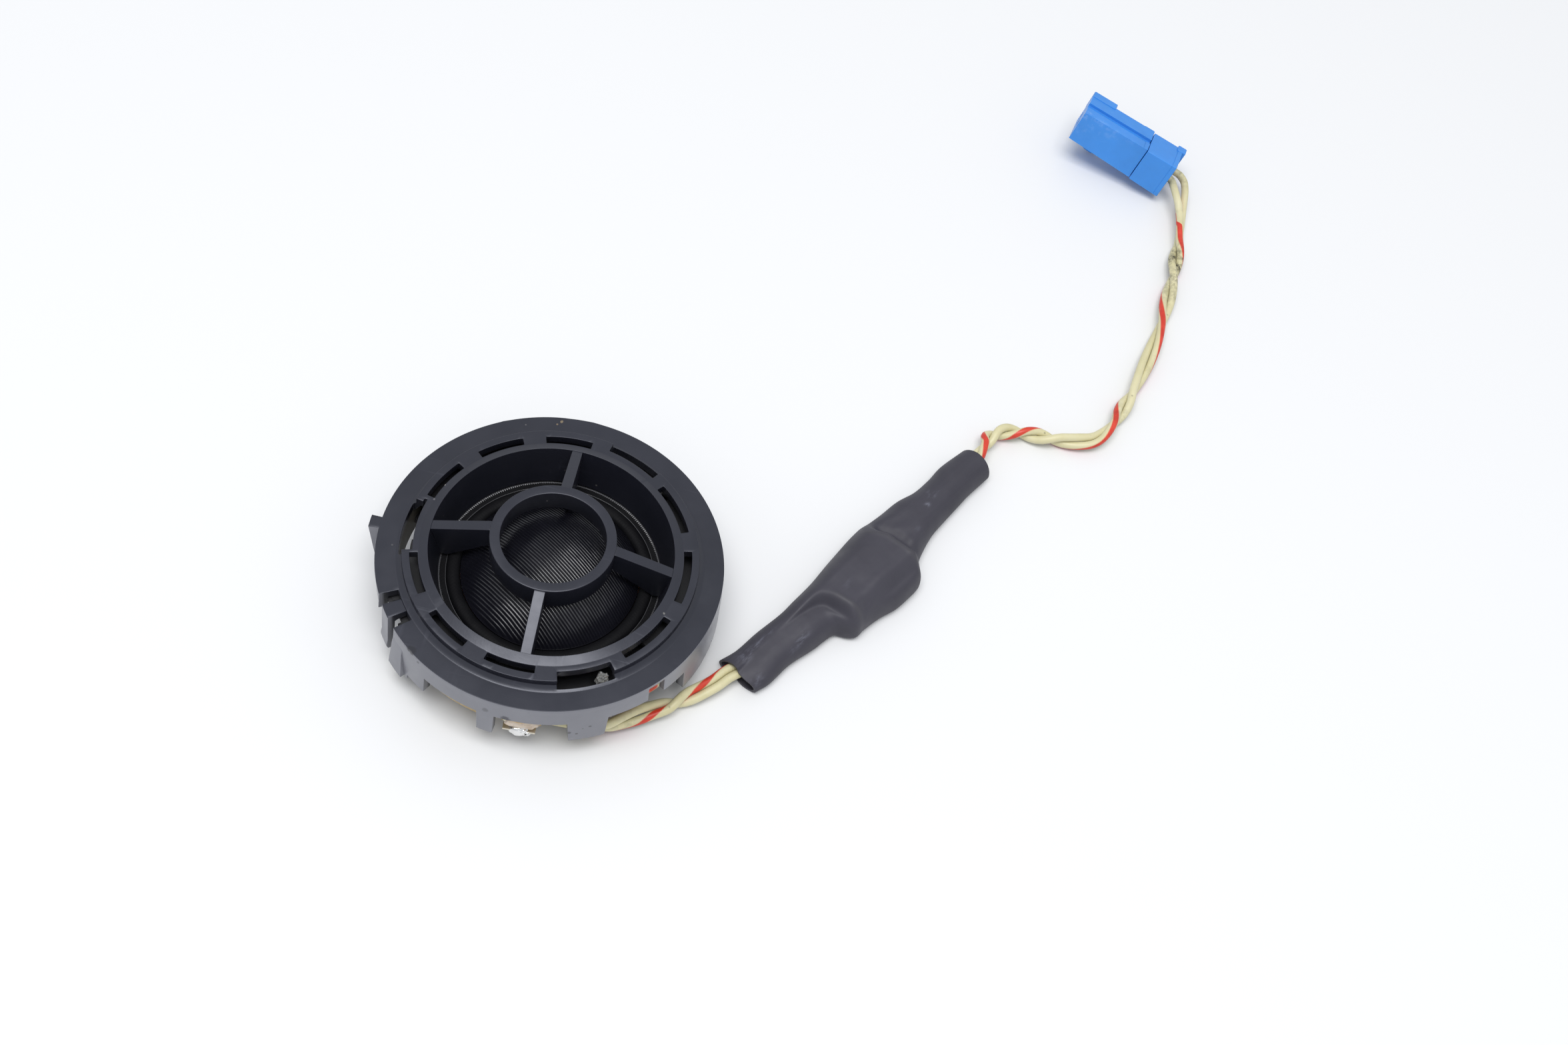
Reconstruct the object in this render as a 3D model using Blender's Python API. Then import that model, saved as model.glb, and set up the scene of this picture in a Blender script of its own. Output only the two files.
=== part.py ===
"""Car tweeter with an in-line capacitor and a two-way connector.

The row frame: millimetres below are turned into metres as the vertices are made.
The origin is the centre of the yoke cup's back face, which the tweeter rests on.
+Z is the dome's axis, towards the listener. The leads run off towards +X and +Y.
"""

import bpy
import bmesh
import math
from mathutils import Matrix, Vector

MM = 0.001

# ---------------------------------------------------------------- driving dimensions (mm)
GAP = 0.3                    # clearance between pieces that touch
STEPS = 72                   # facets round the large turned pieces

FLANGE_R = 25.0              # mounting flange
FLANGE_TOP = 12.5            # its front face above the rest face
FLANGE_T = 1.4
SKIRT_R_LOW = 25.35          # skirt outside, at the feet of the lugs
SKIRT_WALL = 1.35
LUG_FOOT = 4.1               # lowest edge of the deep lugs
SKIRT_FOOT = 8.8             # lower edge of the shallow skirt between lugs

RING_TOP = 14.2              # raised ring that carries the slots
RING_R_OUT = 21.2
BEVEL_R = 18.75
MOUTH_R = 17.55              # horn mouth
MOUTH_TOP = 14.78
THROAT_R = 16.15             # horn throat, above the surround
THROAT_Z = 8.25

SLOT_R = (18.95, 20.1)
SLOTS = ((27.0, 52.0), (89.0, 109.0), (119.0, 139.0), (149.0, 169.5),
         (198.6, 218.6), (228.6, 248.6), (258.6, 279.4), (316.6, 342.2), (351.5, 377.3))
WINDOW_R = (19.7, 21.65)
WINDOWS = ((58.0, 81.0), (173.2, 197.2), (288.2, 310.2))

GRILLE_R = (7.53, 9.0)       # centre ring
GRILLE_TOP = 17.68
GRILLE_FOOT = 13.6
BLADE_ANGLE = 4.3            # first blade; the others follow at quarter turns
BLADE_T = 1.55

LATCH = (216.0, 221.5)       # snap finger, between two slits in the flange
LATCH_SLITS = (212.0, 225.5)
LATCH_ROOT_R = 22.2

# skirt stretches that stop short of the lugs' feet
SHALLOW = ((242.5, 262.4), (268.3, 291.0), (305.0, 335.0),
           (385.0, 420.0), (430.0, 470.0), (476.0, 510.0), (524.0, 540.0), (548.5, 570.0))
MEDIUM = (233.0, 242.5)
MEDIUM_FOOT = 5.3
WIRE_SLOT = (319.0, 325.6)
WIRE_SLOT_TOP = 11.6

DOME_R = 12.9
DOME_RIM_Z = 8.25
DOME_RISE = 5.65
DOME_T = 0.35
SURROUND_T = 0.3
SURROUND_FLAT_Z = 7.95       # upper face of the surround's flat rim
SURROUND_ROLL = 0.75
TRAVEL = 0.4                 # voice coil travel each way

CUP_R = 15.0
CUP_H = 6.6
CUP_FLOOR = 1.8
CUP_BORE = 13.7
MAGNET_R = 11.9
PLATE_R = 12.2
FORMER_R = (12.55, 12.75)
WINDING_R = (13.0, 13.3)

BOARD_Z = (5.3, 6.7)
WIRE_D = 1.35

# ---------------------------------------------------------------- helpers
for old in list(bpy.data.objects):
    bpy.data.objects.remove(old, do_unlink=True)

SCENE = bpy.context.scene


def material(name, colour, roughness, metallic=0.0):
    m = bpy.data.materials.new(name)
    m.use_nodes = True
    b = m.node_tree.nodes["Principled BSDF"]
    b.inputs["Base Color"].default_value = (*colour, 1.0)
    b.inputs["Roughness"].default_value = roughness
    b.inputs["Metallic"].default_value = metallic
    m.diffuse_color = (*colour, 1.0)
    return m


def finish(name, bm, mat, angle=35.0):
    """Turns a bmesh into a smooth-shaded object of its own."""
    bmesh.ops.recalc_face_normals(bm, faces=bm.faces[:])
    mesh = bpy.data.meshes.new(name)
    bm.to_mesh(mesh)
    bm.free()
    mesh.shade_smooth()
    mesh.set_sharp_from_angle(angle=math.radians(angle))
    ob = bpy.data.objects.new(name, mesh)
    SCENE.collection.objects.link(ob)
    if mat is not None:
        mesh.materials.append(mat)
    return ob


def polar(r, deg, z):
    a = math.radians(deg)
    return Vector((r * math.cos(a) * MM, r * math.sin(a) * MM, z * MM))


def turned(name, profile, mat, steps=STEPS, axis_offset=(0.0, 0.0, 0.0)):
    """A solid of revolution about Z from a closed profile of (radius, height)."""
    bm = bmesh.new()
    off = Vector(axis_offset) * MM
    rings = []
    for r, z in profile:
        if r < 1e-6:
            rings.append([bm.verts.new(off + Vector((0, 0, z * MM)))])
        else:
            rings.append([bm.verts.new(off + polar(r, 360.0 * k / steps, z)) for k in range(steps)])
    n = len(rings)
    for i in range(n):
        a, b = rings[i], rings[(i + 1) % n]
        if len(a) == 1 and len(b) == 1:
            continue
        for k in range(steps):
            k2 = (k + 1) % steps
            if len(a) == 1:
                bm.faces.new((a[0], b[k2], b[k]))
            elif len(b) == 1:
                bm.faces.new((a[k], a[k2], b[0]))
            else:
                bm.faces.new((a[k], a[k2], b[k2], b[k]))
    return finish(name, bm, mat)


def sector(name, profile, a0, a1, mat=None, every=5.0):
    """A closed profile of (radius, height) swept about Z from a0 to a1 degrees, with flat ends."""
    n = max(1, int(math.ceil((a1 - a0) / every)))
    bm = bmesh.new()
    rows = [[bm.verts.new(polar(r, a0 + (a1 - a0) * k / n, z)) for r, z in profile] for k in range(n + 1)]
    m = len(profile)
    for k in range(n):
        for i in range(m):
            j = (i + 1) % m
            bm.faces.new((rows[k][i], rows[k][j], rows[k + 1][j], rows[k + 1][i]))
    bm.faces.new(rows[0])
    bm.faces.new(rows[n][::-1])
    return finish(name, bm, mat)


def rect(r0, r1, z0, z1):
    return [(r0, z0), (r1, z0), (r1, z1), (r0, z1)]


def prism(name, outline, z0, z1, mat=None, frame=None):
    """An outline in the XY plane raised from z0 to z1; frame places it."""
    bm = bmesh.new()
    low = [bm.verts.new((x * MM, y * MM, z0 * MM)) for x, y in outline]
    high = [bm.verts.new((x * MM, y * MM, z1 * MM)) for x, y in outline]
    n = len(outline)
    for i in range(n):
        j = (i + 1) % n
        bm.faces.new((low[i], low[j], high[j], high[i]))
    bm.faces.new(low[::-1])
    bm.faces.new(high)
    if frame is not None:
        bmesh.ops.transform(bm, matrix=frame, verts=bm.verts[:])
    return finish(name, bm, mat)


def block(name, lo, hi, mat=None, frame=None):
    return prism(name, [(lo[0], lo[1]), (hi[0], lo[1]), (hi[0], hi[1]), (lo[0], hi[1])], lo[2], hi[2], mat, frame)


def combine(ob, tool, operation):
    """Applies an exact Boolean of ob with tool, and removes the tool."""
    mod = ob.modifiers.new("cut", "BOOLEAN")
    mod.operation = operation
    mod.solver = "EXACT"
    mod.object = tool
    bpy.context.view_layer.update()
    deps = bpy.context.evaluated_depsgraph_get()
    mesh = bpy.data.meshes.new_from_object(ob.evaluated_get(deps))
    mesh.name = ob.name
    ob.modifiers.clear()
    ob.data = mesh
    bpy.data.objects.remove(tool, do_unlink=True)
    mesh.shade_smooth()
    mesh.set_sharp_from_angle(angle=math.radians(35.0))
    return ob


def cut(ob, tool):
    return combine(ob, tool, "DIFFERENCE")


def add(ob, tool):
    return combine(ob, tool, "UNION")


def loft(name, rings, mat, closed_tube=False):
    """A solid from rings of points in order. closed_tube joins the last ring to the first."""
    bm = bmesh.new()
    vs = [[bm.verts.new(Vector(p) * MM) for p in ring] for ring in rings]
    n, m = len(vs), len(vs[0])
    for i in range(n if closed_tube else n - 1):
        a, b = vs[i], vs[(i + 1) % n]
        for k in range(m):
            k2 = (k + 1) % m
            bm.faces.new((a[k], a[k2], b[k2], b[k]))
    if not closed_tube:
        bm.faces.new(vs[0][::-1])
        bm.faces.new(vs[-1])
    return finish(name, bm, mat)


def smooth_route(points, spacing):
    """Points at an even spacing on a Catmull-Rom curve through the given points (mm)."""
    pts = [Vector(p) for p in points]
    pts = [pts[0] * 2 - pts[1]] + pts + [pts[-1] * 2 - pts[-2]]
    dense = []
    for i in range(1, len(pts) - 2):
        p0, p1, p2, p3 = pts[i - 1:i + 3]
        t0 = 0.0
        t1 = t0 + math.sqrt((p1 - p0).length)
        t2 = t1 + math.sqrt((p2 - p1).length)
        t3 = t2 + math.sqrt((p3 - p2).length)
        for k in range(40):
            t = t1 + (t2 - t1) * k / 40.0
            a1 = p0 * ((t1 - t) / (t1 - t0)) + p1 * ((t - t0) / (t1 - t0))
            a2 = p1 * ((t2 - t) / (t2 - t1)) + p2 * ((t - t1) / (t2 - t1))
            a3 = p2 * ((t3 - t) / (t3 - t2)) + p3 * ((t - t2) / (t3 - t2))
            b1 = a1 * ((t2 - t) / (t2 - t0)) + a2 * ((t - t0) / (t2 - t0))
            b2 = a2 * ((t3 - t) / (t3 - t1)) + a3 * ((t - t1) / (t3 - t1))
            dense.append(b1 * ((t2 - t) / (t2 - t1)) + b2 * ((t - t1) / (t2 - t1)))
    dense.append(pts[-2].copy())
    lengths = [0.0]
    for a, b in zip(dense, dense[1:]):
        lengths.append(lengths[-1] + (b - a).length)
    count = max(2, int(round(lengths[-1] / spacing)))
    out, j = [], 0
    for k in range(count + 1):
        s = lengths[-1] * k / count
        while j < len(lengths) - 2 and lengths[j + 1] < s:
            j += 1
        f = (s - lengths[j]) / max(1e-9, lengths[j + 1] - lengths[j])
        out.append((s, dense[j].lerp(dense[j + 1], min(1.0, f))))
    return out


def strand(points, side, spread, spacing):
    """One of two strands that lie side by side along a route.

    spread is a list of (length along the route, angle in degrees from upright, offset); a negative length is from the route's end.
    """
    fine = smooth_route(points, 0.5)
    total = fine[-1][0]
    keys = [(s if s >= 0 else s + total, p, w) for s, p, w in spread]
    count = max(2, int(round(total / spacing)))
    out = []
    for k in range(count + 1):
        s = total * k / count
        i = min(range(len(fine)), key=lambda q: abs(fine[q][0] - s))
        a, b = fine[max(0, i - 1)][1], fine[min(len(fine) - 1, i + 1)][1]
        t = (b - a).normalized()
        left = Vector((0, 0, 1)).cross(t).normalized()
        up = t.cross(left)
        phase, wide = keys[-1][1], keys[-1][2]
        for (s0, p0, w0), (s1, p1, w1) in zip(keys, keys[1:]):
            if s <= s1:
                f = max(0.0, (s - s0) / (s1 - s0))
                phase, wide = p0 + (p1 - p0) * f, w0 + (w1 - w0) * f
                break
        ph = math.radians(phase + (0.0 if side > 0 else 180.0))
        out.append(fine[i][1] + (up * math.cos(ph) + left * math.sin(ph)) * wide)
    return out


def tube(name, points, diameter, mat):
    """A round cord along the points, as a bevelled poly spline with filled caps."""
    data = bpy.data.curves.new(name, "CURVE")
    data.dimensions = "3D"
    data.bevel_depth = diameter * MM / 2
    data.bevel_resolution = 2
    data.use_fill_caps = True
    data.render_resolution_u = 0
    sp = data.splines.new("POLY")
    sp.points.add(len(points) - 1)
    for q, p in zip(sp.points, points):
        q.co = (p[0] * MM, p[1] * MM, p[2] * MM, 1.0)
    data.materials.append(mat)
    ob = bpy.data.objects.new(name, data)
    SCENE.collection.objects.link(ob)
    return ob


def hinge_empty(name, point, ob):
    """An empty on a joint's axis that carries the moving piece."""
    e = bpy.data.objects.new(name, None)
    e.empty_display_size = 0.004
    e.location = Vector(point) * MM
    SCENE.collection.objects.link(e)
    ob.parent = e
    ob.matrix_parent_inverse = Matrix.Translation(-Vector(point) * MM)
    return e


# ---------------------------------------------------------------- materials
BLACK = material("satin_black_plastic", (0.050, 0.052, 0.062), 0.45)
TEXTILE = material("dome_textile", (0.014, 0.014, 0.016), 0.55)
SURROUND_MAT = material("surround_textile", (0.012, 0.012, 0.013), 0.7)
STEEL = material("zinc_plated_steel", (0.55, 0.54, 0.50), 0.35, 1.0)
NICKEL = material("nickel_plated_magnet", (0.62, 0.61, 0.58), 0.25, 1.0)
COPPER = material("enamelled_copper", (0.60, 0.24, 0.10), 0.35, 1.0)
KAPTON = material("coil_former_film", (0.45, 0.22, 0.05), 0.4)
FELT = material("grey_felt", (0.16, 0.16, 0.17), 0.95)
PHENOLIC = material("phenolic_board", (0.42, 0.30, 0.13), 0.6)
TINNED = material("tinned_brass", (0.66, 0.62, 0.52), 0.35, 1.0)
SOLDER = material("solder", (0.75, 0.75, 0.74), 0.25, 1.0)
GLUE = material("hot_melt_adhesive", (0.75, 0.70, 0.52), 0.35)
IVORY = material("ivory_wire_insulation", (0.80, 0.76, 0.56), 0.45)
IVORY_RED = material("ivory_wire_insulation_red_stripe", (0.80, 0.74, 0.52), 0.45)
SHRINK = material("heat_shrink_tube", (0.055, 0.053, 0.060), 0.6)
CAP_CASE = material("capacitor_case", (0.55, 0.36, 0.05), 0.4)
BRASS = material("brass_contact", (0.70, 0.52, 0.20), 0.3, 1.0)
BLUE = material("blue_connector_plastic", (0.07, 0.26, 0.68), 0.4)
FIBRE = material("fibre_ring", (0.10, 0.09, 0.08), 0.8)

# ---------------------------------------------------------------- front housing: flange, raised slotted ring, horn, skirt, lugs, grille
housing = turned("front_housing", [
    (MOUTH_R, MOUTH_TOP), (BEVEL_R, RING_TOP), (RING_R_OUT, RING_TOP), (RING_R_OUT, 13.1),
    (22.0, FLANGE_TOP), (FLANGE_R - 0.2, FLANGE_TOP), (FLANGE_R, FLANGE_TOP - 0.2),
    (SKIRT_R_LOW, LUG_FOOT), (SKIRT_R_LOW - SKIRT_WALL, LUG_FOOT), (23.65, FLANGE_TOP - FLANGE_T),
    (21.5, FLANGE_TOP - FLANGE_T), (20.5, 12.8), (18.5, 12.8), (17.45, THROAT_Z), (THROAT_R, THROAT_Z),
], BLACK)

# centre ring and its four gusset blades, which run down to the throat
grille = turned("grille_tool", [
    (GRILLE_R[0], GRILLE_TOP), (GRILLE_R[1], GRILLE_TOP), (GRILLE_R[1] - 0.05, GRILLE_FOOT),
    (GRILLE_R[0] + 0.4, GRILLE_FOOT), (GRILLE_R[0] + 0.02, GRILLE_FOOT + 0.5)], None, steps=60)
for q in range(4):
    a = math.radians(BLADE_ANGLE + 90.0 * q)
    side = [(8.3, 17.45), (9.05, 17.45), (17.75, 14.62), (17.0, 9.2), (16.0, 8.75), (15.1, 8.6), (9.2, 13.35), (8.3, 13.8)]
    turn = Matrix.Rotation(a, 4, "Z") @ Matrix.Rotation(math.pi / 2, 4, "X")
    blade = prism("blade_tool", side, -BLADE_T / 2, BLADE_T / 2, None, turn)
    add(grille, blade)
add(housing, grille)

for a0, a1 in SLOTS:
    cut(housing, sector("slot_tool", rect(SLOT_R[0], SLOT_R[1], 12.0, 15.0), a0, a1))
for a0, a1 in WINDOWS:
    cut(housing, sector("window_tool", rect(WINDOW_R[0], WINDOW_R[1], 10.5, 15.0), a0, a1))
for a0, a1 in SHALLOW:
    cut(housing, sector("skirt_tool", rect(22.9, 26.5, 3.0, SKIRT_FOOT), a0, a1))
cut(housing, sector("skirt_tool", rect(22.9, 26.5, 3.0, MEDIUM_FOOT), MEDIUM[0], MEDIUM[1]))
cut(housing, sector("wire_slot_tool", rect(22.9, 26.5, 8.0, WIRE_SLOT_TOP), WIRE_SLOT[0], WIRE_SLOT[1]))
cut(housing, sector("latch_tool", rect(LATCH_ROOT_R, 27.0, 3.0, 13.5), LATCH_SLITS[0], LATCH_SLITS[1]))

# locating key: a full-height rib whose outer edge tapers in towards its foot
KEY = (182.0, 186.5)
add(housing, sector("key_tool", [(24.3, LUG_FOOT + 0.02), (25.75, LUG_FOOT + 0.02), (26.55, FLANGE_TOP - 0.02), (24.3, FLANGE_TOP - 0.02)], KEY[0], KEY[1]))
# barb on the lug beside the snap finger
add(housing, sector("barb_tool", [(24.4, LUG_FOOT + 0.02), (25.9, LUG_FOOT + 0.02), (25.9, 4.9), (25.1, 9.9), (24.4, 9.9)], 225.9, 232.6))

# snap finger, which flexes about its root in the flange
finger_profile = [
    (LATCH_ROOT_R + GAP, 11.2), (LATCH_ROOT_R + GAP, 12.48), (24.75, 12.48), (24.95, 12.3), (25.2, 6.3), (25.95, 5.5), (25.9, 4.9),
    (25.1, 4.4), (24.0, 4.4), (23.75, 11.2)]
latch = sector("snap_latch", finger_profile, LATCH[0], LATCH[1], BLACK)
latch_axis_pt = polar(LATCH_ROOT_R + GAP, (LATCH[0] + LATCH[1]) / 2, 11.9) / MM
hinge_empty("snap_latch_pivot", latch_axis_pt, latch)

# ---------------------------------------------------------------- diaphragm and voice coil, on the slide axis
rho = (DOME_R ** 2 + DOME_RISE ** 2) / (2 * DOME_RISE)


def dome_z(r):
    return DOME_RIM_Z + DOME_RISE - (rho - math.sqrt(rho * rho - r * r))


dome_rs = [DOME_R * math.sin(math.pi / 2 * k / 7) for k in range(8)]
dome_profile = [(r, dome_z(r)) for r in dome_rs] + [(DOME_R, DOME_RIM_Z - 0.12)]
inner = [(r * (DOME_R - 0.35) / DOME_R, dome_z(r) - DOME_T) for r in dome_rs][::-1]
inner[0] = (DOME_R - 0.35, DOME_RIM_Z - 0.12)
dome = turned("diaphragm_dome", dome_profile + inner, TEXTILE, steps=48)
former = turned("voice_coil_former", [(FORMER_R[0], 2.9), (FORMER_R[1], 2.9), (FORMER_R[1], 7.8), (FORMER_R[0], 7.8)], KAPTON, steps=48)
winding = turned("voice_coil_winding", [(WINDING_R[0], 3.3), (WINDING_R[1], 3.3), (WINDING_R[1], 5.6), (WINDING_R[0], 5.6)], COPPER, steps=48)

# surround: half roll between the dome's rim and a flat glued rim
roll = [(13.2 + 1.8 * (1 - math.cos(math.pi * k / 8)) / 2, SURROUND_FLAT_Z + SURROUND_ROLL * math.sin(math.pi * k / 8)) for k in range(9)]
under = [(r, z - SURROUND_T) for r, z in roll[::-1]]
surround = turned("surround", roll + [(16.6, SURROUND_FLAT_Z), (16.6, SURROUND_FLAT_Z - SURROUND_T)] + under, SURROUND_MAT, steps=60)

# ---------------------------------------------------------------- motor
cup = turned("yoke_cup", [(0, 0), (CUP_R - 0.5, 0), (CUP_R, 0.5), (CUP_R, CUP_H), (CUP_BORE, CUP_H), (CUP_BORE, CUP_FLOOR), (0, CUP_FLOOR)], STEEL, steps=60)
magnet = turned("magnet", [(0, CUP_FLOOR + GAP), (MAGNET_R, CUP_FLOOR + GAP), (MAGNET_R, 4.4), (0, 4.4)], NICKEL, steps=48)
plate = turned("pole_plate", [(0, 4.7), (PLATE_R, 4.7), (PLATE_R, 6.6), (0, 6.6)], STEEL, steps=48)
felt = turned("damping_felt", [(0, 6.9), (10.5, 6.9), (10.5, 8.6), (9.6, 9.4), (0, 9.4)], FELT, steps=40)
ring = turned("surround_mount_ring", [(15.35, 6.2), (16.6, 6.2), (16.6, SURROUND_FLAT_Z - SURROUND_T - GAP), (15.35, SURROUND_FLAT_Z - SURROUND_T - GAP)], FIBRE, steps=60)

# driver frame: collar round the cup, web above the terminal board, outer rim under the flange
frame = turned("driver_frame", [
    (15.3, 2.2), (16.9, 2.2), (17.5, 2.9), (17.5, 7.1), (23.2, 7.1), (23.2, 10.8), (21.9, 10.8), (21.9, 8.1),
    (18.0, 8.1), (17.85, 7.95), (16.95, 7.95), (16.95, 5.9), (15.3, 5.9)], BLACK)
for a0, a1 in WINDOWS:
    cut(frame, sector("frame_window_tool", rect(18.4, 24.0, 6.0, 11.5), a0 - 1.0, a1 + 1.0))
cut(frame, sector("frame_wire_tool", rect(18.4, 24.0, 6.0, 11.5), 302.0, 331.0))
cut(frame, sector("frame_latch_tool", rect(21.0, 24.0, 6.0, 11.5), 213.5, 224.0))

# ---------------------------------------------------------------- terminal board with its two terminals
board_edge = ((236.0, 23.4), (243.2, 23.4), (243.4, 24.3), (261.4, 24.3), (261.6, 23.5), (269.2, 23.5), (269.4, 24.3),
              (290.0, 24.3), (290.2, 23.5), (305.8, 23.5), (306.0, 24.3), (314.0, 24.3))
outline = []
for (a0, r0), (a1, r1) in zip(board_edge, board_edge[1:]):
    n = max(1, int((a1 - a0) / 4.0))
    for k in range(n):
        a = math.radians(a0 + (a1 - a0) * k / n)
        r = r0 + (r1 - r0) * k / n
        outline.append((r * math.cos(a), r * math.sin(a)))
a = math.radians(board_edge[-1][0])
outline.append((24.3 * math.cos(a), 24.3 * math.sin(a)))
for k in range(16):
    a = math.radians(314.0 + (236.0 - 314.0) * k / 15)
    outline.append((17.85 * math.cos(a), 17.85 * math.sin(a)))
board = prism("terminal_board", outline, BOARD_Z[0], BOARD_Z[1], PHENOLIC)
TERMINAL_A = (276.3, 20.4)       # angle and rivet radius
TERMINAL_B = (309.5, 20.6)
for a, r in (TERMINAL_A, TERMINAL_B):
    cut(board, turned("rivet_tool", [(0, 4.5), (0.85, 4.5), (0.85, 7.5), (0, 7.5)], None, steps=12, axis_offset=tuple(polar(r, a, 0) / MM)))


def terminal(name, place, r_in, r_out, width, side):
    """A tinned tab on one side of the board (-1 under it, 1 above it) with its rivet through the board."""
    turn = Matrix.Rotation(math.radians(place[0]), 4, "Z")
    face = BOARD_Z[0] - GAP if side < 0 else BOARD_Z[1] + GAP
    back = BOARD_Z[1] + 0.1 if side < 0 else BOARD_Z[0] - 0.2
    tab = block(name, (r_in, -width / 2, min(face, face + 0.4 * side)), (r_out, width / 2, max(face, face + 0.4 * side)), TINNED, turn)
    lo, hi = min(face + 0.2 * side, back), max(face + 0.2 * side, back)
    rivet = turned("rivet", [(0, lo), (0.55, lo), (0.55, hi), (0.0, hi)], None, steps=12, axis_offset=tuple(polar(place[1], place[0], 0) / MM))
    return add(tab, rivet)


terminal("solder_terminal_a", TERMINAL_A, 18.9, 24.45, 4.6, -1)
terminal("solder_terminal_b", TERMINAL_B, 19.4, 23.3, 3.0, 1)


def blob(name, centre, rx, ry, rz, mat, steps=14, rows=7, turn=0.0):
    """A rounded lump with a flattened top."""
    rings = []
    for i in range(1, rows):
        t = math.pi * i / rows
        rr, zz = math.sin(t), math.cos(t)
        ca, sa = math.cos(turn), math.sin(turn)
        ring_pts = []
        for k in range(steps):
            u = 2 * math.pi * k / steps
            x, y = rx * rr * math.cos(u), ry * rr * math.sin(u)
            ring_pts.append((centre[0] + x * ca - y * sa, centre[1] + x * sa + y * ca, centre[2] + rz * zz))
        rings.append(ring_pts)
    return loft(name, rings, mat)


pa = polar(23.3, TERMINAL_A[0], 0) / MM
blob("solder_joint_a", (pa.x, pa.y, 3.4), 1.0, 1.55, 0.95, SOLDER, turn=math.radians(TERMINAL_A[0]))
pb = polar(22.3, TERMINAL_B[0], 0) / MM
blob("solder_joint_b", (pb.x, pb.y, 8.3), 0.9, 1.1, 0.65, SOLDER, turn=math.radians(TERMINAL_B[0]))
# adhesive: a pad on the board's edge, a bead low on the left, and a dab seen in a window
sector("adhesive_pad", rect(23.5, 24.55, 7.0, 8.45), 271.0, 282.5, GLUE)
pg = polar(22.9, 224.7, 0) / MM
blob("adhesive_bead", (pg.x, pg.y, 3.9), 0.7, 1.0, 2.7, GLUE, turn=math.radians(224.7))
pw = polar(20.3, 304.6, 0) / MM
blob("adhesive_dab", (pw.x, pw.y, 8.7), 1.1, 0.85, 0.95, GLUE, turn=math.radians(304.6))

# ---------------------------------------------------------------- heat-shrink sleeve over the in-line capacitor
SLEEVE_START = Vector((30.16, -4.81, 0.0))
SLEEVE_AZ = math.radians(60.2)
SLEEVE_WALL = 0.5
# along the sleeve: (distance, middle, half width, height, squareness)
SLEEVE = ((0.0, 0.1, 3.72, 3.5, 2.2), (3.0, -0.35, 3.6, 3.8, 2.2), (7.0, -0.45, 3.6, 4.1, 2.3), (13.0, -1.2, 3.85, 4.7, 2.4),
          (16.2, -1.45, 4.15, 5.4, 2.5), (18.6, -2.5, 5.15, 7.0, 3.2), (21.5, -2.65, 5.6, 7.5, 3.6), (28.0, -2.75, 6.2, 7.6, 3.6),
          (32.6, -2.3, 6.15, 7.5, 3.4), (34.6, -1.7, 5.6, 6.4, 2.8), (37.0, -0.7, 4.75, 5.3, 2.5), (41.0, -0.1, 4.05, 4.7, 2.3),
          (46.0, -0.25, 3.45, 4.4, 2.2), (51.5, 0.2, 3.4, 4.4, 2.2), (57.0, 0.0, 3.2, 4.4, 2.1))
S_DIR = Vector((math.cos(SLEEVE_AZ), math.sin(SLEEVE_AZ), 0))
S_NOR = Vector((-math.sin(SLEEVE_AZ), math.cos(SLEEVE_AZ), 0))


def sleeve_point(s, p, z):
    return SLEEVE_START + S_DIR * s + S_NOR * p + Vector((0, 0, z))


def sleeve_ring(s, mid, half, height, square, inset, sides=20):
    pts = []
    for k in range(sides):
        u = 2 * math.pi * (k + 0.5) / sides
        c, sn = math.cos(u), math.sin(u)
        e = 2.0 / square
        x = math.copysign(abs(c) ** e, c) * (half - inset)
        y = math.copysign(abs(sn) ** e, sn) * (height / 2 - inset)
        pts.append(tuple(sleeve_point(s, mid + x, 0.04 + height / 2 + y)))
    return pts


outer = [sleeve_ring(*st, 0.0) for st in SLEEVE]
bore = [sleeve_ring(*st, SLEEVE_WALL) for st in SLEEVE]
sleeve = loft("heat_shrink_sleeve", outer + bore[::-1], SHRINK, closed_tube=True)

CAP_S = (20.2, 31.8)
turn = Matrix.Translation(SLEEVE_START * MM) @ Matrix.Rotation(SLEEVE_AZ, 4, "Z")
cap = block("capacitor", (CAP_S[0], -6.1, 1.35), (CAP_S[1], -0.2, 6.2), CAP_CASE, turn)
for s0, s1 in ((16.2, CAP_S[0] + 0.5), (CAP_S[1] - 0.5, 36.0)):
    lead = turned("lead_tool", [(0, s0), (0.35, s0), (0.35, s1), (0, s1)], None, steps=8)
    lead.matrix_world = Matrix.Translation(SLEEVE_START * MM) @ Matrix.Rotation(SLEEVE_AZ, 4, "Z") @ Matrix.Translation(
        Vector((0, -2.2, 2.5)) * MM) @ Matrix.Rotation(math.pi / 2, 4, "Y")
    add(cap, lead)


def splice(name, s0, s1, p, z):
    """A crimp barrel with a bore at each end."""
    ob = turned(name, [(0.68, s0), (1.1, s0), (1.1, s1), (0.68, s1)], TINNED, steps=12)
    ob.data.transform(Matrix.Translation(SLEEVE_START * MM) @ Matrix.Rotation(SLEEVE_AZ, 4, "Z") @ Matrix.Translation(
        Vector((0, p, z)) * MM) @ Matrix.Rotation(math.pi / 2, 4, "Y"))
    ob.data.update()
    return ob


splice("crimp_splice_in", 13.0, 18.0, -2.2, 2.5)
splice("crimp_splice_out", 33.6, 38.6, -2.2, 2.5)

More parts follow.
